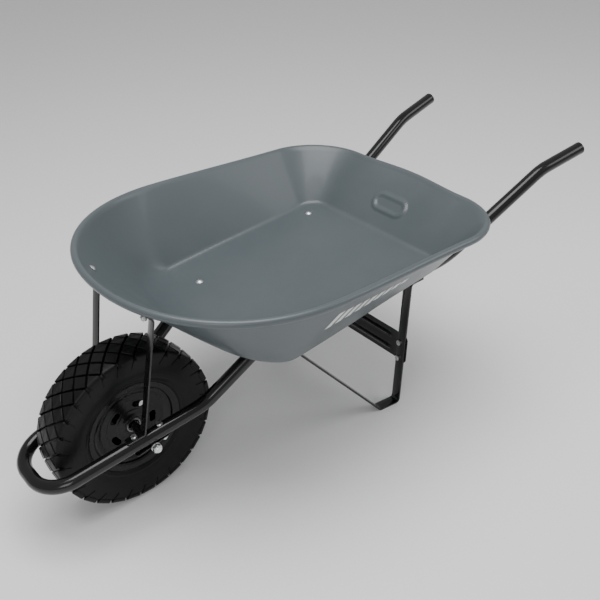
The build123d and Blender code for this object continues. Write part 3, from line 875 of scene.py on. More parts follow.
SIDEWAYS = Vector((sin(TAPER), cos(TAPER), 0))
BAR_WIDTH, BAR_THICK = 0.028, 0.005
FLANGE_FRONT, FRONT_TOP, FOOT_FRONT = -0.301, -0.338, -0.616
FOOT_REAR, REAR_TOP, FLANGE_REAR = -0.676, -0.698, -0.737


def leg_flange(ahead):
    drop = (TUBE_R + BAR_THICK / 2) * sqrt(1 + FLOOR_SLOPE ** 2)
    return on_side(ahead, under_tray_z(ahead) - drop)


# %% legs
ground = BAR_THICK / 2
leg_route = bend_route([leg_flange(FLANGE_FRONT), leg_flange(FRONT_TOP), on_side(FOOT_FRONT, ground),
                        on_side(FOOT_REAR, ground), leg_flange(REAR_TOP), leg_flange(FLANGE_REAR)], 0.011)
leg = flat_bar("leg", leg_route, SIDEWAYS, BAR_WIDTH, BAR_THICK, BLACK_ENAMEL)
both_sides(leg, "frame", "frame_paint", "leg")

# %% where a brace meets the front wall
BRACE_WIDTH, BRACE_THICK = 0.022, 0.004
BRACE_TIP, BRACE_HEEL = 0.058, 0.016
KNEE_LEVEL, BOLT_LEVEL, END_LEVEL = 0.82, 0.885, 0.945
WALL_GAP = 3.9 * MM
WALL_BOLT_TURN = radians(13)


def front_wall(level):
    """(ahead, height) of the outside of the front wall, in the brace's upright plane."""
    half = half_outline(level, RIM_R * level)
    front, side = half[-1][0], max(y for _, y in half)
    widest = mix(FLOOR_WIDEST, RIM_WIDEST, level)
    power = nose_power(level)
    part = (1 - (tube_y(-0.020) / side) ** power) ** (1 / power)
    ahead = widest + (front - widest) * part
    return ahead, mix(floor_z(ahead), rim_z(ahead), level)


(knee_ahead, knee_z), (end_ahead, end_z) = front_wall(KNEE_LEVEL), front_wall(END_LEVEL)
WALL_ANGLE = atan2(end_z - knee_z, end_ahead - knee_ahead)


def wall_place():
    """On the outside of the front wall at the brace bolt, its Z pointing into the tray."""
    ahead, height = front_wall(BOLT_LEVEL)
    return side_place(ahead, height, -WALL_ANGLE) @ Matrix.Rotation(WALL_BOLT_TURN, 4, "X")


# %% front braces
out_by = WALL_GAP + BRACE_THICK / 2
tab = [on_side(a + out_by * sin(WALL_ANGLE), z - out_by * cos(WALL_ANGLE))
       for a, z in (front_wall(KNEE_LEVEL), front_wall(END_LEVEL))]
on_tube = (TUBE_R + BRACE_THICK / 2) / cos(WHEEL_RUN_FALL)
foot = [on_side(a, run_z(a) + on_tube) for a in (BRACE_TIP, BRACE_HEEL)]
brace = flat_bar("front_brace", bend_route(foot + tab, 0.007), SIDEWAYS, BRACE_WIDTH, BRACE_THICK,
                 BLACK_ENAMEL, 0.008)
both_sides(brace, "frame", "frame_paint", "front_brace")

# %% [markdown]
# ## Plate between the legs
# A pressed plate ties the two rear struts together. Two long ribs stiffen it. A plate with ribs is
# a height over a flat grid: the grid is bent at its knees, raised at its ribs and then thickened.

# %% plate sizes
PLATE_HALF, PLATE_LOW, PLATE_HIGH = 0.212, 0.126, 0.204
PLATE_KNEE = PLATE_HALF - 0.046
PLATE_THICK = 2 * MM
RIB_OFF, RIB_HALF, RIB_RISE = 0.019, 0.0085, 0.0055
CROSS_BOLT_HEIGHTS, CROSS_BOLT_Y = (0.134, 0.181), 0.188
flange_low = leg_flange(REAR_TOP).z - BAR_THICK / 2
LEG_LEAN = atan2((FOOT_REAR - REAR_TOP) / cos(TAPER), flange_low)


def strut_ahead(height):
    return FOOT_REAR - (height - ground) * tan(LEG_LEAN) * cos(TAPER)


def strut_place(height, y):
    """On the middle of the left rear strut, its Z out of the strut's front face."""
    ahead = strut_ahead(height)
    return side_place(ahead, height, pi / 2 - LEG_LEAN, (y - tube_y(ahead)) / cos(TAPER))


# %% cross plate
def rib_rise(y, z):
    off = min(abs(z - RIB_OFF), abs(z + RIB_OFF))
    end = ease((PLATE_KNEE - 0.010 - abs(y)) / 0.014)
    return RIB_RISE * end * (1 - ease(off / RIB_HALF))


plate_middle = (PLATE_LOW + PLATE_HIGH) / 2
plate_tall = PLATE_HIGH - PLATE_LOW
plate_back = -(BAR_THICK + PLATE_THICK) / 2 / cos(TAPER) - 0.05 * MM
at_strut = tube_y(strut_ahead(plate_middle))
plate_place = (Matrix.Translation((axle.x + strut_ahead(plate_middle), 0, plate_middle))
               @ Matrix.Rotation(-LEG_LEAN, 4, "Y"))
across, up_rows = 90, 40
plate_points = []
for k in range(across + 1):
    y = mix(-PLATE_HALF, PLATE_HALF, k / across)
    bent = plate_back + (max(abs(y), PLATE_KNEE) - at_strut) * SPREAD
    corner = min(PLATE_HALF - abs(y), 0.008)
    trim = 0.008 - sqrt(max(0.008 ** 2 - (0.008 - corner) ** 2, 0))
    for j in range(up_rows + 1):
        z = (plate_tall / 2 - trim) * (2 * j / up_rows - 1)
        plate_points.append(plate_place @ Vector((bent + rib_rise(y, z), y, z)))
plate_faces = [(i, i + 1, i + up_rows + 2, i + up_rows + 1)
               for k in range(across) for i in range(k * (up_rows + 1), k * (up_rows + 1) + up_rows)]
plate = new_piece("leg_cross_plate_pressed", plate_points, plate_faces, BLACK_ENAMEL, 60)
wall = plate.modifiers.new("plate", "SOLIDIFY")
wall.thickness = PLATE_THICK
wall.offset = 0
edge = plate.modifiers.new("edge", "BEVEL")
edge.width = 0.4 * MM
edge.segments = 2
stand_for(plate, "frame", "frame_paint", "leg_cross_plate")

# %% [markdown]
# ## Axle brackets
# A black strap hangs the axle under the tube: an ear, a U round the axle, another ear. It is
# a bent flat bar too, only with a half circle in its route.

# %% axle brackets
STRAP_WIDTH, STRAP_THICK, STRAP_REACH = 0.026, 0.003, 0.044
SEAT_GAP = 0.4 * MM
BOLT_STEP = 0.030
bolt_step = BOLT_STEP * cos(WHEEL_RUN_FALL)
bracket_middle = (TUBE_R + AXLE_R) * sin(WHEEL_RUN_FALL)
bracket_bolts_ahead = (bracket_middle + bolt_step, bracket_middle - bolt_step)
strap_place = (Matrix.Translation((axle.x + bracket_middle, HALF_GAUGE, run_z(bracket_middle)))
               @ Matrix.Rotation(WHEEL_RUN_FALL, 4, "Y"))
ear_z = -TUBE_R - SEAT_GAP - STRAP_THICK / 2
cup_z = -TUBE_R - AXLE_R
cup_r = AXLE_R + STRAP_THICK / 2
ear = bend_route([(-STRAP_REACH, 0, ear_z), (-cup_r, 0, ear_z), (-cup_r, 0, cup_z)], 0.0022, 5)
cup = [Vector((-cup_r * cos(pi * k / 24), 0, cup_z - cup_r * sin(pi * k / 24))) for k in range(1, 24)]
other_ear = [Vector((-p.x, 0, p.z)) for p in reversed(ear)]
strap_route = [strap_place @ p for p in ear + cup + other_ear]
strap = flat_bar("axle_bracket", strap_route, Vector((0, 1, 0)), STRAP_WIDTH, STRAP_THICK, BLACK_ENAMEL, 0.005)
both_sides(strap, "frame", "frame_paint", "axle_bracket")

# %% [markdown]
# ## Fasteners
# A barrow is held together by a few kinds of bolt, each used many times. One of each kind is made
# with its chamfers, and a Geometry Nodes tree sets a copy on every marked place, turned as the
# place is. To change a bolt everywhere, only the one original changes.

# %% one of each kind
def hex_body(points_at, across, low, high, steps=48):
    """Rings of a hexagon whose two ends are turned to a cone."""
    rows = []
    tall = high - low
    for share in (0, 0.06, 0.16, 0.84, 0.94, 1):
        z = low + tall * share
        to_end = min(share, 1 - share) * tall
        cone = across / 2 * 0.95 + to_end * 1.9
        row = []
        for k in range(steps):
            a = 2 * pi * k / steps
            flat = across / 2 / cos((a + pi / 6) % (pi / 3) - pi / 6)
            row.append((min(flat, cone) * cos(a), min(flat, cone) * sin(a), z))
        rows.append(row)
    points_at += [p for row in rows for p in row]
    return rows


def fastener(name, across, low, high, shank, tip, washer=0.0):
    """A hexagon from low to high with a threaded shank to its tip."""
    points = []
    rows = hex_body(points, across, low, high)
    around = len(rows[0])
    faces = tube_faces(len(rows), around)
    for profile in thread_profiles(shank, min(tip, low), max(tip, high)):
        start = len(points)
        steps = 28
        for r, z in profile:
            points += [(r * cos(2 * pi * k / steps), r * sin(2 * pi * k / steps), z) for k in range(steps)]
        faces += [tuple(start + i for i in f) for f in tube_faces(len(profile), steps)]
    mesh = bpy.data.meshes.new(name)
    mesh.from_pydata(points, [], faces)
    weld(mesh)
    return kind_of(name, mesh)


def thread_profiles(radius, low, high, pitch=1.25 * MM, depth=0.55 * MM):
    """A shank with its thread as a row of ridges, chamfered at both ends."""
    count = max(2, int((high - low) / pitch))
    profile = [(radius - 1.2 * depth, low)]
    for k in range(count):
        z = low + (high - low) * (k + 0.3) / count
        profile += [(radius, z), (radius - depth, z + (high - low) / count / 2)]
    profile.append((radius - 1.2 * depth, high))
    return [profile]


def kind_of(name, mesh):
    mesh.shade_smooth()
    mesh.set_sharp_from_angle(angle=radians(28))
    kind = bpy.data.objects.new(name, mesh)
    bpy.context.scene.collection.objects.link(kind)
    return kind


def dome(name, seat, tip, radius=9 * MM, rise=4.2 * MM, shank=4 * MM):
    """A low mushroom head on its seat, with its shank below."""
    ball = (radius ** 2 + rise ** 2) / (2 * rise)
    arc = [(ball * sin(a), seat + rise - ball * (1 - cos(a)))
           for a in [asin(radius / ball) * (1 - k / 9) for k in range(10)]]
    profile = [(0.0, tip), (shank, tip), (shank, seat), (radius - 0.4 * MM, seat)] + arc
    profile[-1] = (0.0, seat + rise)
    steps = 40
    points = [(r * cos(2 * pi * k / steps), r * sin(2 * pi * k / steps), z)
              for r, z in profile for k in range(steps)]
    mesh = bpy.data.meshes.new(name)
    mesh.from_pydata(points, [], tube_faces(len(profile), steps))
    weld(mesh)
    return kind_of(name, mesh)


# %% tree that sets fasteners
def make_fastener_tree():
    tree, given, result = geometry_tree("set fasteners", {
        "Fastener": "NodeSocketObject", "Material": "NodeSocketMaterial"})
    kind = add(tree, "GeometryNodeObjectInfo", Object=given.outputs["Fastener"])
    turn = add(tree, "GeometryNodeInputNamedAttribute", {"data_type": "FLOAT_VECTOR"}, Name="turn")
    euler = add(tree, "FunctionNodeEulerToRotation", Euler=turn.outputs["Attribute"])
    placed = add(tree, "GeometryNodeInstanceOnPoints", Points=given.outputs["Geometry"],
                 Instance=kind.outputs["Geometry"], Rotation=euler.outputs[0])
    finish_tree(tree, placed.outputs[0], given, result)
    return tree


FASTENER_TREE = make_fastener_tree()
MIRROR = Matrix.Scale(-1, 4, (0, 1, 0))


def place_marks(name, left_places):
    """One point for each left place and its mirror image, with the turn it needs."""
    places = left_places + [MIRROR @ p @ MIRROR for p in left_places]
    marks = bpy.data.meshes.new(name)
    marks.from_pydata([tuple(p.translation) for p in places], [], [])
    turns = marks.attributes.new("turn", "FLOAT_VECTOR", "POINT")
    for mark, place in zip(turns.data, places):
        mark.vector = place.to_euler()
    return marks


def set_fasteners(name, kind, left_places, node):
    piece = apply_tree(name, place_marks(name, left_places), FASTENER_TREE,
                       {"Fastener": kind, "Material": ZINC}, 28)
    stand_for(piece, "frame", "zinc", node)


# %% floor bolts
FLOOR_BOLTS = (-0.713, -0.317)
M8_ACROSS, M8_R = 0.013, 0.004
TRAY_SHEET = 2 * MM
floor_places = [floor_place(a) for a in FLOOR_BOLTS]
set_fasteners("floor_bolt_heads", dome("floor_bolt", TUBE_R + TRAY_SHEET - 0.2 * MM, TUBE_R - 2 * MM),
              floor_places, "floor_bolts")
under = -TUBE_R - BAR_THICK - SEAT_GAP
washer_profile = [(M8_R, under - 1.6 * MM), (8 * MM, under - 1.6 * MM), (8 * MM, under), (M8_R, under)]
washer = turned("floor_washer", rounded(washer_profile, 0.4 * MM), ZINC, 40)
set_fasteners("floor_bolt_washers_set", washer, floor_places, "floor_bolt_washers")
nut_top = under - 1.6 * MM
set_fasteners("floor_bolt_nuts_set", fastener("floor_nut", M8_ACROSS, nut_top - 6.5 * MM, nut_top, M8_R,
                                              -TUBE_R - 15 * MM), floor_places, "floor_bolt_nuts")

# %% bracket, brace and plate bolts
bracket_places = [run_place(a) for a in bracket_bolts_ahead]
front_head = fastener("front_bolt", M8_ACROSS, TUBE_R + BRACE_THICK, TUBE_R + BRACE_THICK + 5.5 * MM,
                      M8_R, TUBE_R)
rear_head = fastener("rear_bolt", M8_ACROSS, TUBE_R, TUBE_R + 5.5 * MM, M8_R, TUBE_R - 2 * MM)
front_bolts = apply_tree("front_bracket_bolts", place_marks("front_marks", bracket_places[:1]),
                         FASTENER_TREE, {"Fastener": front_head, "Material": ZINC}, 28)
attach(front_bolts, "frame")
set_fasteners("rear_bracket_bolts", rear_head, bracket_places[1:], "bracket_bolts")
nut_top = -TUBE_R - STRAP_THICK - 2 * SEAT_GAP
set_fasteners("bracket_nuts_set", fastener("bracket_nut", M8_ACROSS, nut_top - 6.5 * MM, nut_top, M8_R,
                                           nut_top - 9.6 * MM), bracket_places, "bracket_bolt_nuts")
set_fasteners("brace_bolt_heads", dome("brace_bolt", 2.4 * MM, -2 * MM), [wall_place()], "brace_bolts")
nut_top = -WALL_GAP - BRACE_THICK - 1.8 * MM
set_fasteners("brace_nuts_set", fastener("brace_nut", M8_ACROSS, nut_top - 6.5 * MM, nut_top, M8_R,
                                         nut_top - 9 * MM), [wall_place()], "brace_bolt_nuts")
cross_places = [strut_place(z, CROSS_BOLT_Y) for z in CROSS_BOLT_HEIGHTS]
face = BAR_THICK / 2
set_fasteners("cross_plate_bolt_heads", fastener("cross_bolt", M8_ACROSS, face, face + 5 * MM, M8_R, 0),
              cross_places, "cross_plate_bolts")
nut_top = -BAR_THICK / 2 - PLATE_THICK - 0.2 * MM
set_fasteners("cross_plate_nuts_set", fastener("cross_nut", M8_ACROSS, nut_top - 6.5 * MM, nut_top, M8_R,
                                               nut_top - 8 * MM), cross_places, "cross_plate_nuts")

# %% axle ends
AXLE_HALF = 0.138
STRAP_OUT = HALF_GAUGE + STRAP_WIDTH / 2
THREAD_FROM = STRAP_OUT + 1.6 * MM
thread = thread_profiles(AXLE_R, THREAD_FROM, AXLE_HALF, 1.5 * MM, 0.8 * MM)[0]
right_half = [(AXLE_R, 0.0)] + [(AXLE_R, THREAD_FROM - 0.1 * MM)] + thread + [(0.00005, AXLE_HALF)]
left_half = [(r, -h) for r, h in reversed(right_half)]
axle_bar = turned("wheel_axle", left_half[:-1] + right_half[1:], ZINC, 40, AXLE_PLACE, 30)
stand_for(axle_bar, "frame", "zinc", "axle")
axle_side = Matrix.Translation(axle) @ Matrix.Rotation(-pi / 2, 4, "X")
set_fasteners("axle_nuts_set", fastener("axle_nut", 0.019, STRAP_OUT + 1.6 * MM, STRAP_OUT + 11.6 * MM,
                                        AXLE_R, STRAP_OUT + 12 * MM), [axle_side], "axle_nuts")
axle_washer = turned("axle_washer", rounded([(AXLE_R, STRAP_OUT), (11 * MM, STRAP_OUT),
                                             (11 * MM, STRAP_OUT + 1.6 * MM), (AXLE_R, STRAP_OUT + 1.6 * MM)],
                                            0.4 * MM), ZINC, 48)
set_fasteners("axle_washers_set", axle_washer, [axle_side], "axle_washers")
HUB_HALF = 0.030
spacer_out = HALF_GAUGE - STRAP_WIDTH / 2
spacer_profile = [(AXLE_R, HUB_HALF), (10.5 * MM, HUB_HALF), (10.5 * MM, spacer_out), (AXLE_R, spacer_out)]
spacer = turned("axle_spacer", rounded(spacer_profile, 0.8 * MM), BLACK_ENAMEL, 48, AXLE_PLACE)
both_sides(spacer, "frame", "wheel_paint", "axle_spacer")
for kind in [o for o in bpy.context.scene.objects if o.type == "MESH" and "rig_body" not in o and o != floor]:
    bpy.data.objects.remove(kind)

# %% [markdown]
# ## The tyre
# A pneumatic barrow tyre has a smooth carcass and a pattern of blocks that stands on it: a row of
# diamonds down the middle, a row each side set half a step on, and lugs that run over the
# shoulder. The carcass is a turned profile. One step of the pattern is modelled as a few blocks,
# and a Geometry Nodes tree repeats it round the axle, so the count is one number.

# %% skin of the tyre
TYRE_R = AXLE_HEIGHT
CROWN_HALF, CROWN_EDGE_R = 0.046, 0.1945
CROWN_BALL = (CROWN_HALF ** 2 + (TYRE_R - CROWN_EDGE_R) ** 2) / (2 * (TYRE_R - CROWN_EDGE_R))
SHOULDER = [(0.1920, 0.0488), (0.1880, 0.0502), (0.1800, 0.0512), (0.1700, 0.0519),
            (0.1600, 0.0521), (0.1500, 0.0516), (0.1400, 0.0500), (0.1320, 0.0478), (0.1260, 0.0455)]


def skin_line():
    """(radius, aside) from the middle of the crown over the shoulder and down the side wall."""
    crown = [(TYRE_R - CROWN_BALL + sqrt(CROWN_BALL ** 2 - y * y), y)
             for y in [CROWN_HALF * k / 24 for k in range(25)]]
    return crown + SHOULDER


SKIN = [Vector(p) for p in skin_line()]
REACHES = [0.0]
for here, there in zip(SKIN, SKIN[1:]):
    REACHES.append(REACHES[-1] + (there - here).length)


def skin(across, depth=0.0):
    """(radius, aside) at a distance across the tread from its middle, sunk by a depth."""
    reach = min(abs(across), REACHES[-1])
    k = min(max(i for i, r in enumerate(REACHES) if r <= reach), len(SKIN) - 2)
    share = (reach - REACHES[k]) / (REACHES[k + 1] - REACHES[k])
    here = SKIN[k].lerp(SKIN[k + 1], share)
    ahead, behind = SKIN[min(k + 2, len(SKIN) - 1)], SKIN[max(k - 1, 0)]
    run = (ahead - behind).normalized()
    sunk = here - Vector((run.y, -run.x)) * depth
    return sunk.x, sunk.y if across >= 0 else -sunk.y


print("skin", round(REACHES[-1] / MM), "mm from crown to side wall")

# %% carcass
GROOVE = 7.0 * MM
WALL_SINK = 1.0 * MM
SHOULDER_FROM, SHOULDER_TO = 0.048, 0.062


def sink(across):
    """How far the carcass lies below the blocks: deep in the tread, little on the side wall."""
    return mix(GROOVE, WALL_SINK, ease((across - SHOULDER_FROM) / (SHOULDER_TO - SHOULDER_FROM)))


def carcass_profile():
    steps = 64
    outer = [skin(REACHES[-1] * k / steps, sink(REACHES[-1] * k / steps)) for k in range(steps + 1)]
    bead = [(0.1236, 0.0446), (0.1222, 0.0449), (0.1208, 0.0444), (0.1198, 0.0430), (0.1184, 0.0425),
            (0.1160, 0.0408), (0.1146, 0.0392), (0.1144, 0.0362), (0.1040, 0.0342),
            (0.1012, 0.0318), (0.1012, 0.0212), (0.1060, 0.0206), (0.1100, 0.0290),
            (0.1300, 0.0385), (0.1500, 0.0440), (0.1700, 0.0432), (0.1800, 0.0400), (0.1868, 0.0250)]
    half = outer + bead
    return half + [(0.1875, 0.0)] + [(r, -y) for r, y in reversed(half[1:])]


carcass = turned("carcass", carcass_profile(), TYRE_RUBBER, 180, AXLE_PLACE, 50)

# %% blocks of one step
TREAD_COUNT = 30
STEP = 2 * pi * TYRE_R / TREAD_COUNT
ROW = 0.0235
GAP = 2.9 * MM
BLOCK_EDGE = 1.3 * MM
SINK_MORE = 1.2 * MM
LUG_END = 0.0600


def diamond_width(off):
    """Half width of a diamond at a distance from its middle row."""
    return max(STEP / 2 * (1 - abs(off) / ROW) - GAP, 0.0)


def diamond_stations(middle):
    end = ROW * (1 - GAP / (STEP / 2)) - 1.2 * MM
    offs = [end * k / 5 for k in range(-5, 6)]
    return [(middle + off, diamond_width(off)) for off in offs]


def lug_stations(side):
    """A lug starts as half a diamond, gets as wide as the step and bends over the shoulder."""
    start = ROW + 4.2 * MM
    stations = []
    for k in range(15):
        across = mix(start, LUG_END, k / 14)
        wide = min(STEP / 2 * (across - ROW) / ROW, STEP / 2) - GAP
        taper = ease((across - 0.050) / 0.012)
        stations.append((side * across, max(wide, 0.6 * MM) - 2.5 * MM * taper))
    return stations


def on_wheel(turn, radius, aside):
    return axle + Vector((radius * cos(turn), aside, radius * sin(turn)))


def block(points, faces, stations, phase):
    """A raised block from its width at stations across the tread, with a small chamfer."""
    start = len(points)
    for across, half in stations:
        deep = sink(abs(across)) + SINK_MORE
        for side, more, depth in ((-1, 0.9 * MM, deep), (-1, 0, BLOCK_EDGE), (-1, -BLOCK_EDGE, 0),
                                  (1, -BLOCK_EDGE, 0), (1, 0, BLOCK_EDGE), (1, 0.9 * MM, deep)):
            width = max(half + more, 0.1 * MM)
            r, y = skin(across, depth)
            points.append(on_wheel(phase + side * width / TYRE_R, r, y))
    faces += [tuple(start + i for i in f) for f in tube_faces(len(stations), 6)]


def one_step():
    points, faces = [], []
    half_step = pi / TREAD_COUNT
    block(points, faces, diamond_stations(0.0), half_step)
    for side in (-1, 1):
        block(points, faces, diamond_stations(side * ROW), 0.0)
        block(points, faces, lug_stations(side), half_step)
        rib(points, faces, side)
    mesh = bpy.data.meshes.new("tread_step")
    mesh.from_pydata([tuple(p) for p in points], [], faces)
    weld(mesh)
    return mesh


def rib(points, faces, side):
    """A thin slanted rib on the side wall, below the gap between two lugs."""
    start = len(points)
    for k in range(9):
        share = k / 8
        across = mix(0.0520, 0.0780, share)
        turn = -radians(3.5) * share
        half = 0.9 * MM * sin(pi * (0.12 + 0.76 * share))
        low, high = WALL_SINK + 0.4 * MM, -0.35 * MM
        for s, depth in ((-1, low), (-0.45, high), (0.45, high), (1, low)):
            r, y = skin(side * across, depth)
            points.append(on_wheel(turn + s * half / r, r, y))
    faces += [tuple(start + i for i in f) for f in tube_faces(9, 4)]


# %% tree that repeats a step round the axle
def make_round_tree():
    tree, given, result = geometry_tree("repeat round the axle", {
        "Count": "NodeSocketInt", "Axle": "NodeSocketVector", "Material": "NodeSocketMaterial"})
    minus = add(tree, "ShaderNodeVectorMath", {"operation": "SCALE"}, Vector=given.outputs["Axle"],
                Scale=-1.0)
    centred = add(tree, "GeometryNodeTransform", Geometry=given.outputs["Geometry"],
                  Translation=minus.outputs[0])
    points = add(tree, "GeometryNodePoints", Count=given.outputs["Count"],
                 Position=given.outputs["Axle"])
    index = add(tree, "GeometryNodeInputIndex")
    share = maths(tree, "DIVIDE", index.outputs[0], given.outputs["Count"])
    angle = maths(tree, "MULTIPLY", share, 2 * pi)
    euler = add(tree, "ShaderNodeCombineXYZ", Y=angle)
    turned_by = add(tree, "FunctionNodeEulerToRotation", Euler=euler.outputs[0])
    placed = add(tree, "GeometryNodeInstanceOnPoints", Points=points.outputs[0],
                 Instance=centred.outputs[0], Rotation=turned_by.outputs[0])
    finish_tree(tree, placed.outputs[0], given, result)
    return tree


ROUND_TREE = make_round_tree()
blocks = apply_tree("tread_blocks", one_step(), ROUND_TREE,
                    {"Count": TREAD_COUNT, "Axle": tuple(axle), "Material": TYRE_RUBBER}, 30)
stand_for(blocks, "wheel", "tyre_rubber", "tyre")
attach(carcass, "wheel")
carcass.name = "tyre_carcass"

# %% [markdown]
# ## The wheel
# The rim is rolled with a flange each side to hold the tyre's beads. Two dished discs join it to
# the hub, each with five kidney windows. The discs are turned, then the windows are cut by a
# Boolean with rounded cutters: cut edges stay crisp, and the flat face round them stays flat.

# %% rim
rim_half = [(0.1005, 0.0), (0.0935, 0.0), (0.0935, 0.0148), (0.1008, 0.0202), (0.1008, 0.0318),
            (0.1036, 0.0345), (0.1132, 0.0362), (0.1150, 0.0380), (0.1140, 0.0398), (0.1125, 0.0388),
            (0.1024, 0.0368), (0.0984, 0.0340), (0.0984, 0.0210), (0.0915, 0.0160)]
outside = [(r, y) for r, y in rim_half[1:9]]
inside = [(r, y) for r, y in rim_half[8:]]
rim_loop = (outside + inside[1:] + [(0.0915, -0.0160)] + [(r, -y) for r, y in reversed(inside[1:-1])]
            + [(r, -y) for r, y in reversed(outside)])
rim = turned("rolled_rim", rounded(rim_loop, 1.2 * MM, 3), WHEEL_ENAMEL, 144, AXLE_PLACE, 50)
stand_for(rim, "wheel", "wheel_paint", "wheel_rim")

# %% discs
HUB_R = 0.022
WINDOW_COUNT, WINDOW_FIRST = 5, radians(42)
WINDOW_MIDDLE, WINDOW_HALF, WINDOW_SPAN = 0.052, 0.008, radians(34)
disc_face = [(0.0983, 0.0235), (0.0983, 0.0312), (0.0930, 0.0322), (0.0862, 0.0292), (0.0800, 0.0252),
             (0.0660, 0.0250), (0.0640, 0.0238), (0.0400, 0.0238), (0.0380, 0.0250), (0.0300, 0.0256),
             (HUB_R, 0.0290)]
disc_back = [(HUB_R, 0.0270), (0.0300, 0.0236), (0.0380, 0.0230), (0.0400, 0.0218), (0.0640, 0.0218),
             (0.0660, 0.0230), (0.0806, 0.0232), (0.0868, 0.0270), (0.0930, 0.0300), (0.0965, 0.0292),
             (0.0965, 0.0235)]


def window_outline(steps=14):
    """A kidney: two arcs about the axle joined by half-round ends."""
    half = WINDOW_SPAN / 2 - WINDOW_HALF / WINDOW_MIDDLE
    line = []
    for k in range(steps + 1):
        a = mix(-half, half, k / steps)
        line.append(((WINDOW_MIDDLE + WINDOW_HALF) * cos(a), (WINDOW_MIDDLE + WINDOW_HALF) * sin(a)))
    for end, sign in ((half, 1), (-half, -1)):
        centre = Vector((WINDOW_MIDDLE * cos(end), WINDOW_MIDDLE * sin(end)))
        for k in range(1, 10):
            a = end + sign * pi * k / 10 if sign > 0 else end + pi - pi * k / 10 + pi
            a = end + pi * k / 10 if sign > 0 else end + pi + pi * k / 10
            line.append((centre.x + WINDOW_HALF * cos(a), centre.y + WINDOW_HALF * sin(a)))
        if sign > 0:
            for k in range(steps + 1):
                a = mix(half, -half, k / steps)
                low = WINDOW_MIDDLE - WINDOW_HALF
                line.append((low * cos(a), low * sin(a)))
    return line


def window_cutters():
    points, faces = [], []
    shape = window_outline()
    for k in range(WINDOW_COUNT):
        turn = WINDOW_FIRST + 2 * pi * k / WINDOW_COUNT
        start = len(points)
        for aside in (0.010, 0.040):
            for x, y in shape:
                a = atan2(y, x) + turn
                points.append(on_wheel(a, hypot(x, y), aside))
        faces += [tuple(start + i for i in f) for f in tube_faces(2, len(shape))]
    return new_piece("window_cutters", points, faces, WHEEL_ENAMEL)


def cut(piece, cutters):
    saw = piece.modifiers.new("cut", "BOOLEAN")
    saw.operation = "DIFFERENCE"
    saw.solver = "EXACT"
    saw.object = cutters
    graph = bpy.context.evaluated_depsgraph_get()
    mesh = bpy.data.meshes.new_from_object(piece.evaluated_get(graph), depsgraph=graph)
    piece.modifiers.clear()
    piece.data = mesh
    bpy.data.objects.remove(cutters)
    mesh.shade_smooth()
    mesh.set_sharp_from_angle(angle=radians(22))


disc = turned("wheel_disc_pressed", rounded(disc_face + disc_back, 0.9 * MM, 3), WHEEL_ENAMEL, 144, AXLE_PLACE)
cut(disc, window_cutters())
disc_edge = disc.modifiers.new("edge", "BEVEL")
disc_edge.width = 0.35 * MM
disc_edge.segments = 2
disc_edge.limit_method = "ANGLE"
disc_edge.angle_limit = radians(50)
both_sides(disc, "wheel", "wheel_paint", "wheel_disc")

# %% hub
seat, seat_in = 0.0175, HUB_HALF - 0.011
hub_half = [(HUB_R, 0.0), (HUB_R, HUB_HALF - 1.2 * MM), (HUB_R - 1.2 * MM, HUB_HALF), (seat + 0.6 * MM, HUB_HALF),
            (seat, HUB_HALF - 0.6 * MM), (seat, seat_in), (0.015, seat_in), (0.015, 0.0)]
hub_loop = hub_half[:-1] + [(r, -y) for r, y in reversed(hub_half[1:-1])]
hub = turned("hub_barrel", hub_loop, WHEEL_ENAMEL, 64, AXLE_PLACE, 50)
stand_for(hub, "wheel", "wheel_paint", "wheel_hub")

# %% valve
VALVE_TURN = radians(258)


def spoke_place(turn):
    """At the axle, its Z axis pointing outwards along a spoke."""
    out = Vector((cos(turn), 0, sin(turn)))
    return place_on(axle, out)


stem_profile = [(0.0001, 0.0715), (0.0026, 0.0715), (0.0030, 0.0740), (0.0034, 0.0800), (0.0039, 0.0900),
                (0.0040, 0.0943), (0.0001, 0.0943)]
stem = turned("rubber_valve_stem", stem_profile, TUBE_RUBBER, 32, spoke_place(VALVE_TURN), 50)
stand_for(stem, "wheel", "tube_rubber", "valve_stem")
cap_ridges = []
for k in range(6):
    cap_ridges += [(0.0050, 0.0615 + k * 0.0016), (0.0045, 0.0623 + k * 0.0016)]
cap_line = [(0.0001, 0.0600), (0.0044, 0.0600)] + cap_ridges + [(0.0050, 0.0715), (0.0041, 0.0719), (0.0001, 0.0719)]
valve_cap = turned("valve_dust_cap", cap_line, CAP_PLASTIC, 32, spoke_place(VALVE_TURN), 50)
stand_for(valve_cap, "wheel", "cap_plastic", "valve_cap")

# %% [markdown]
# ## Pieces that keep their design shape
# Bearings, the inner tube, the rim wire and the sleeve are already right and mostly hidden, so
# they keep their meshes and only get a finish.

# %% finishes on the design's own pieces
def refinish(names, material):
    for name in names:
        slots = nodes[name].data.materials
        slots.clear()
        slots.append(material)
        for polygon in nodes[name].data.polygons:
            polygon.material_index = 0


# The darkened steel paints the shade of the hub and the tyre onto these hidden pieces.
refinish([n for n in nodes if "bearing" in n] + ["axle_sleeve", "rim_wire"], SHADE_DARKENED_STEEL)
refinish(["inner_tube"], TUBE_RUBBER)
print("kept", sum(1 for n in nodes if "bearing" in n) + 3, "design pieces")

# %% [markdown]
# ## Side stripes
# The side walls carry a plain decoration, cut from thin white film: slanted bars that get shorter.
# Film lies on the paint, so it is made of the tray's own rule, a little outside the wall.

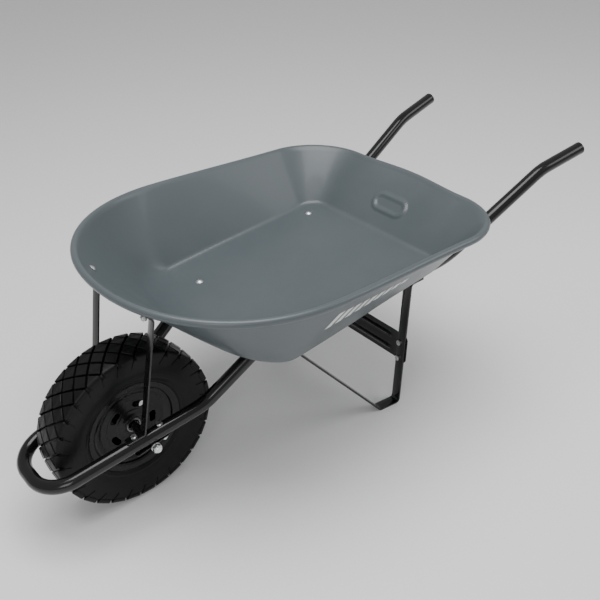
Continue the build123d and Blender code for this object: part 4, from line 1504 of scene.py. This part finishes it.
# %% side stripes
STRIPE_COUNT = 9
STRIPE_FIRST, STRIPE_STEP, STRIPE_LENGTH = -0.352, 0.0265, 0.0165
STRIPE_LEVEL, STRIPE_TALLEST, STRIPE_LOWEST = 0.53, 0.115, 0.035
STRIPE_SLANT = 0.10
FILM = 0.25 * MM


def wall_point(ahead, level, out):
    """A point on the outside of the left wall, moved outwards."""
    half = half_outline(level, WALL_INSET * level)[COLUMNS["rear"] + 4:]
    for (xa, ya), (xb, yb) in zip(half, half[1:]):
        if xa <= ahead <= xb:
            y = mix(ya, yb, (ahead - xa) / (xb - xa))
            break
    return Vector((axle.x + ahead, y + out, mix(floor_z(ahead), rim_z(ahead), level) - 0.6 * out))


def side_stripes():
    points, faces = [], []
    rows, columns = 6, 12
    for bar in range(STRIPE_COUNT):
        start = len(points)
        front = STRIPE_FIRST - STRIPE_STEP * bar
        tall = mix(STRIPE_TALLEST, STRIPE_LOWEST, bar / (STRIPE_COUNT - 1))
        for out in (-0.15 * MM, FILM):
            for j in range(rows + 1):
                rise = tall * (2 * j / rows - 1)
                level = STRIPE_LEVEL + rise
                for i in range(columns + 1):
                    ahead = front - STRIPE_LENGTH * (1 - i / columns) - STRIPE_SLANT * rise
                    points.append(wall_point(ahead, level, out))
        layer = (rows + 1) * (columns + 1)
        border = ([i for i in range(columns + 1)] + [(j * (columns + 1) + columns) for j in range(1, rows + 1)]
                  + [rows * (columns + 1) + i for i in range(columns - 1, -1, -1)]
                  + [j * (columns + 1) for j in range(rows - 1, 0, -1)])
        for j in range(rows):
            for i in range(columns):
                a = start + j * (columns + 1) + i
                quad = (a, a + 1, a + columns + 2, a + columns + 1)
                faces += [quad, tuple(v + layer for v in reversed(quad))]
        for a, b in zip(border, border[1:] + border[:1]):
            faces.append((start + a, start + b, start + b + layer, start + a + layer))
    return new_piece("side_stripe", points, faces, FILM_WHITE)


FILM_WHITE = moulded("white_film", (0.75, 0.76, 0.76), (0.62, 0.63, 0.62), 0.35, 300.0, 0.00005)
stripe = side_stripes()
other_stripe = mirrored(stripe, "right_side_stripe")
stripe.name = "left_side_stripe"
for film in (stripe, other_stripe):
    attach(film, "frame")
print("two stripes of", STRIPE_COUNT, "bars")

# %% finish
bpy.context.view_layer.update()
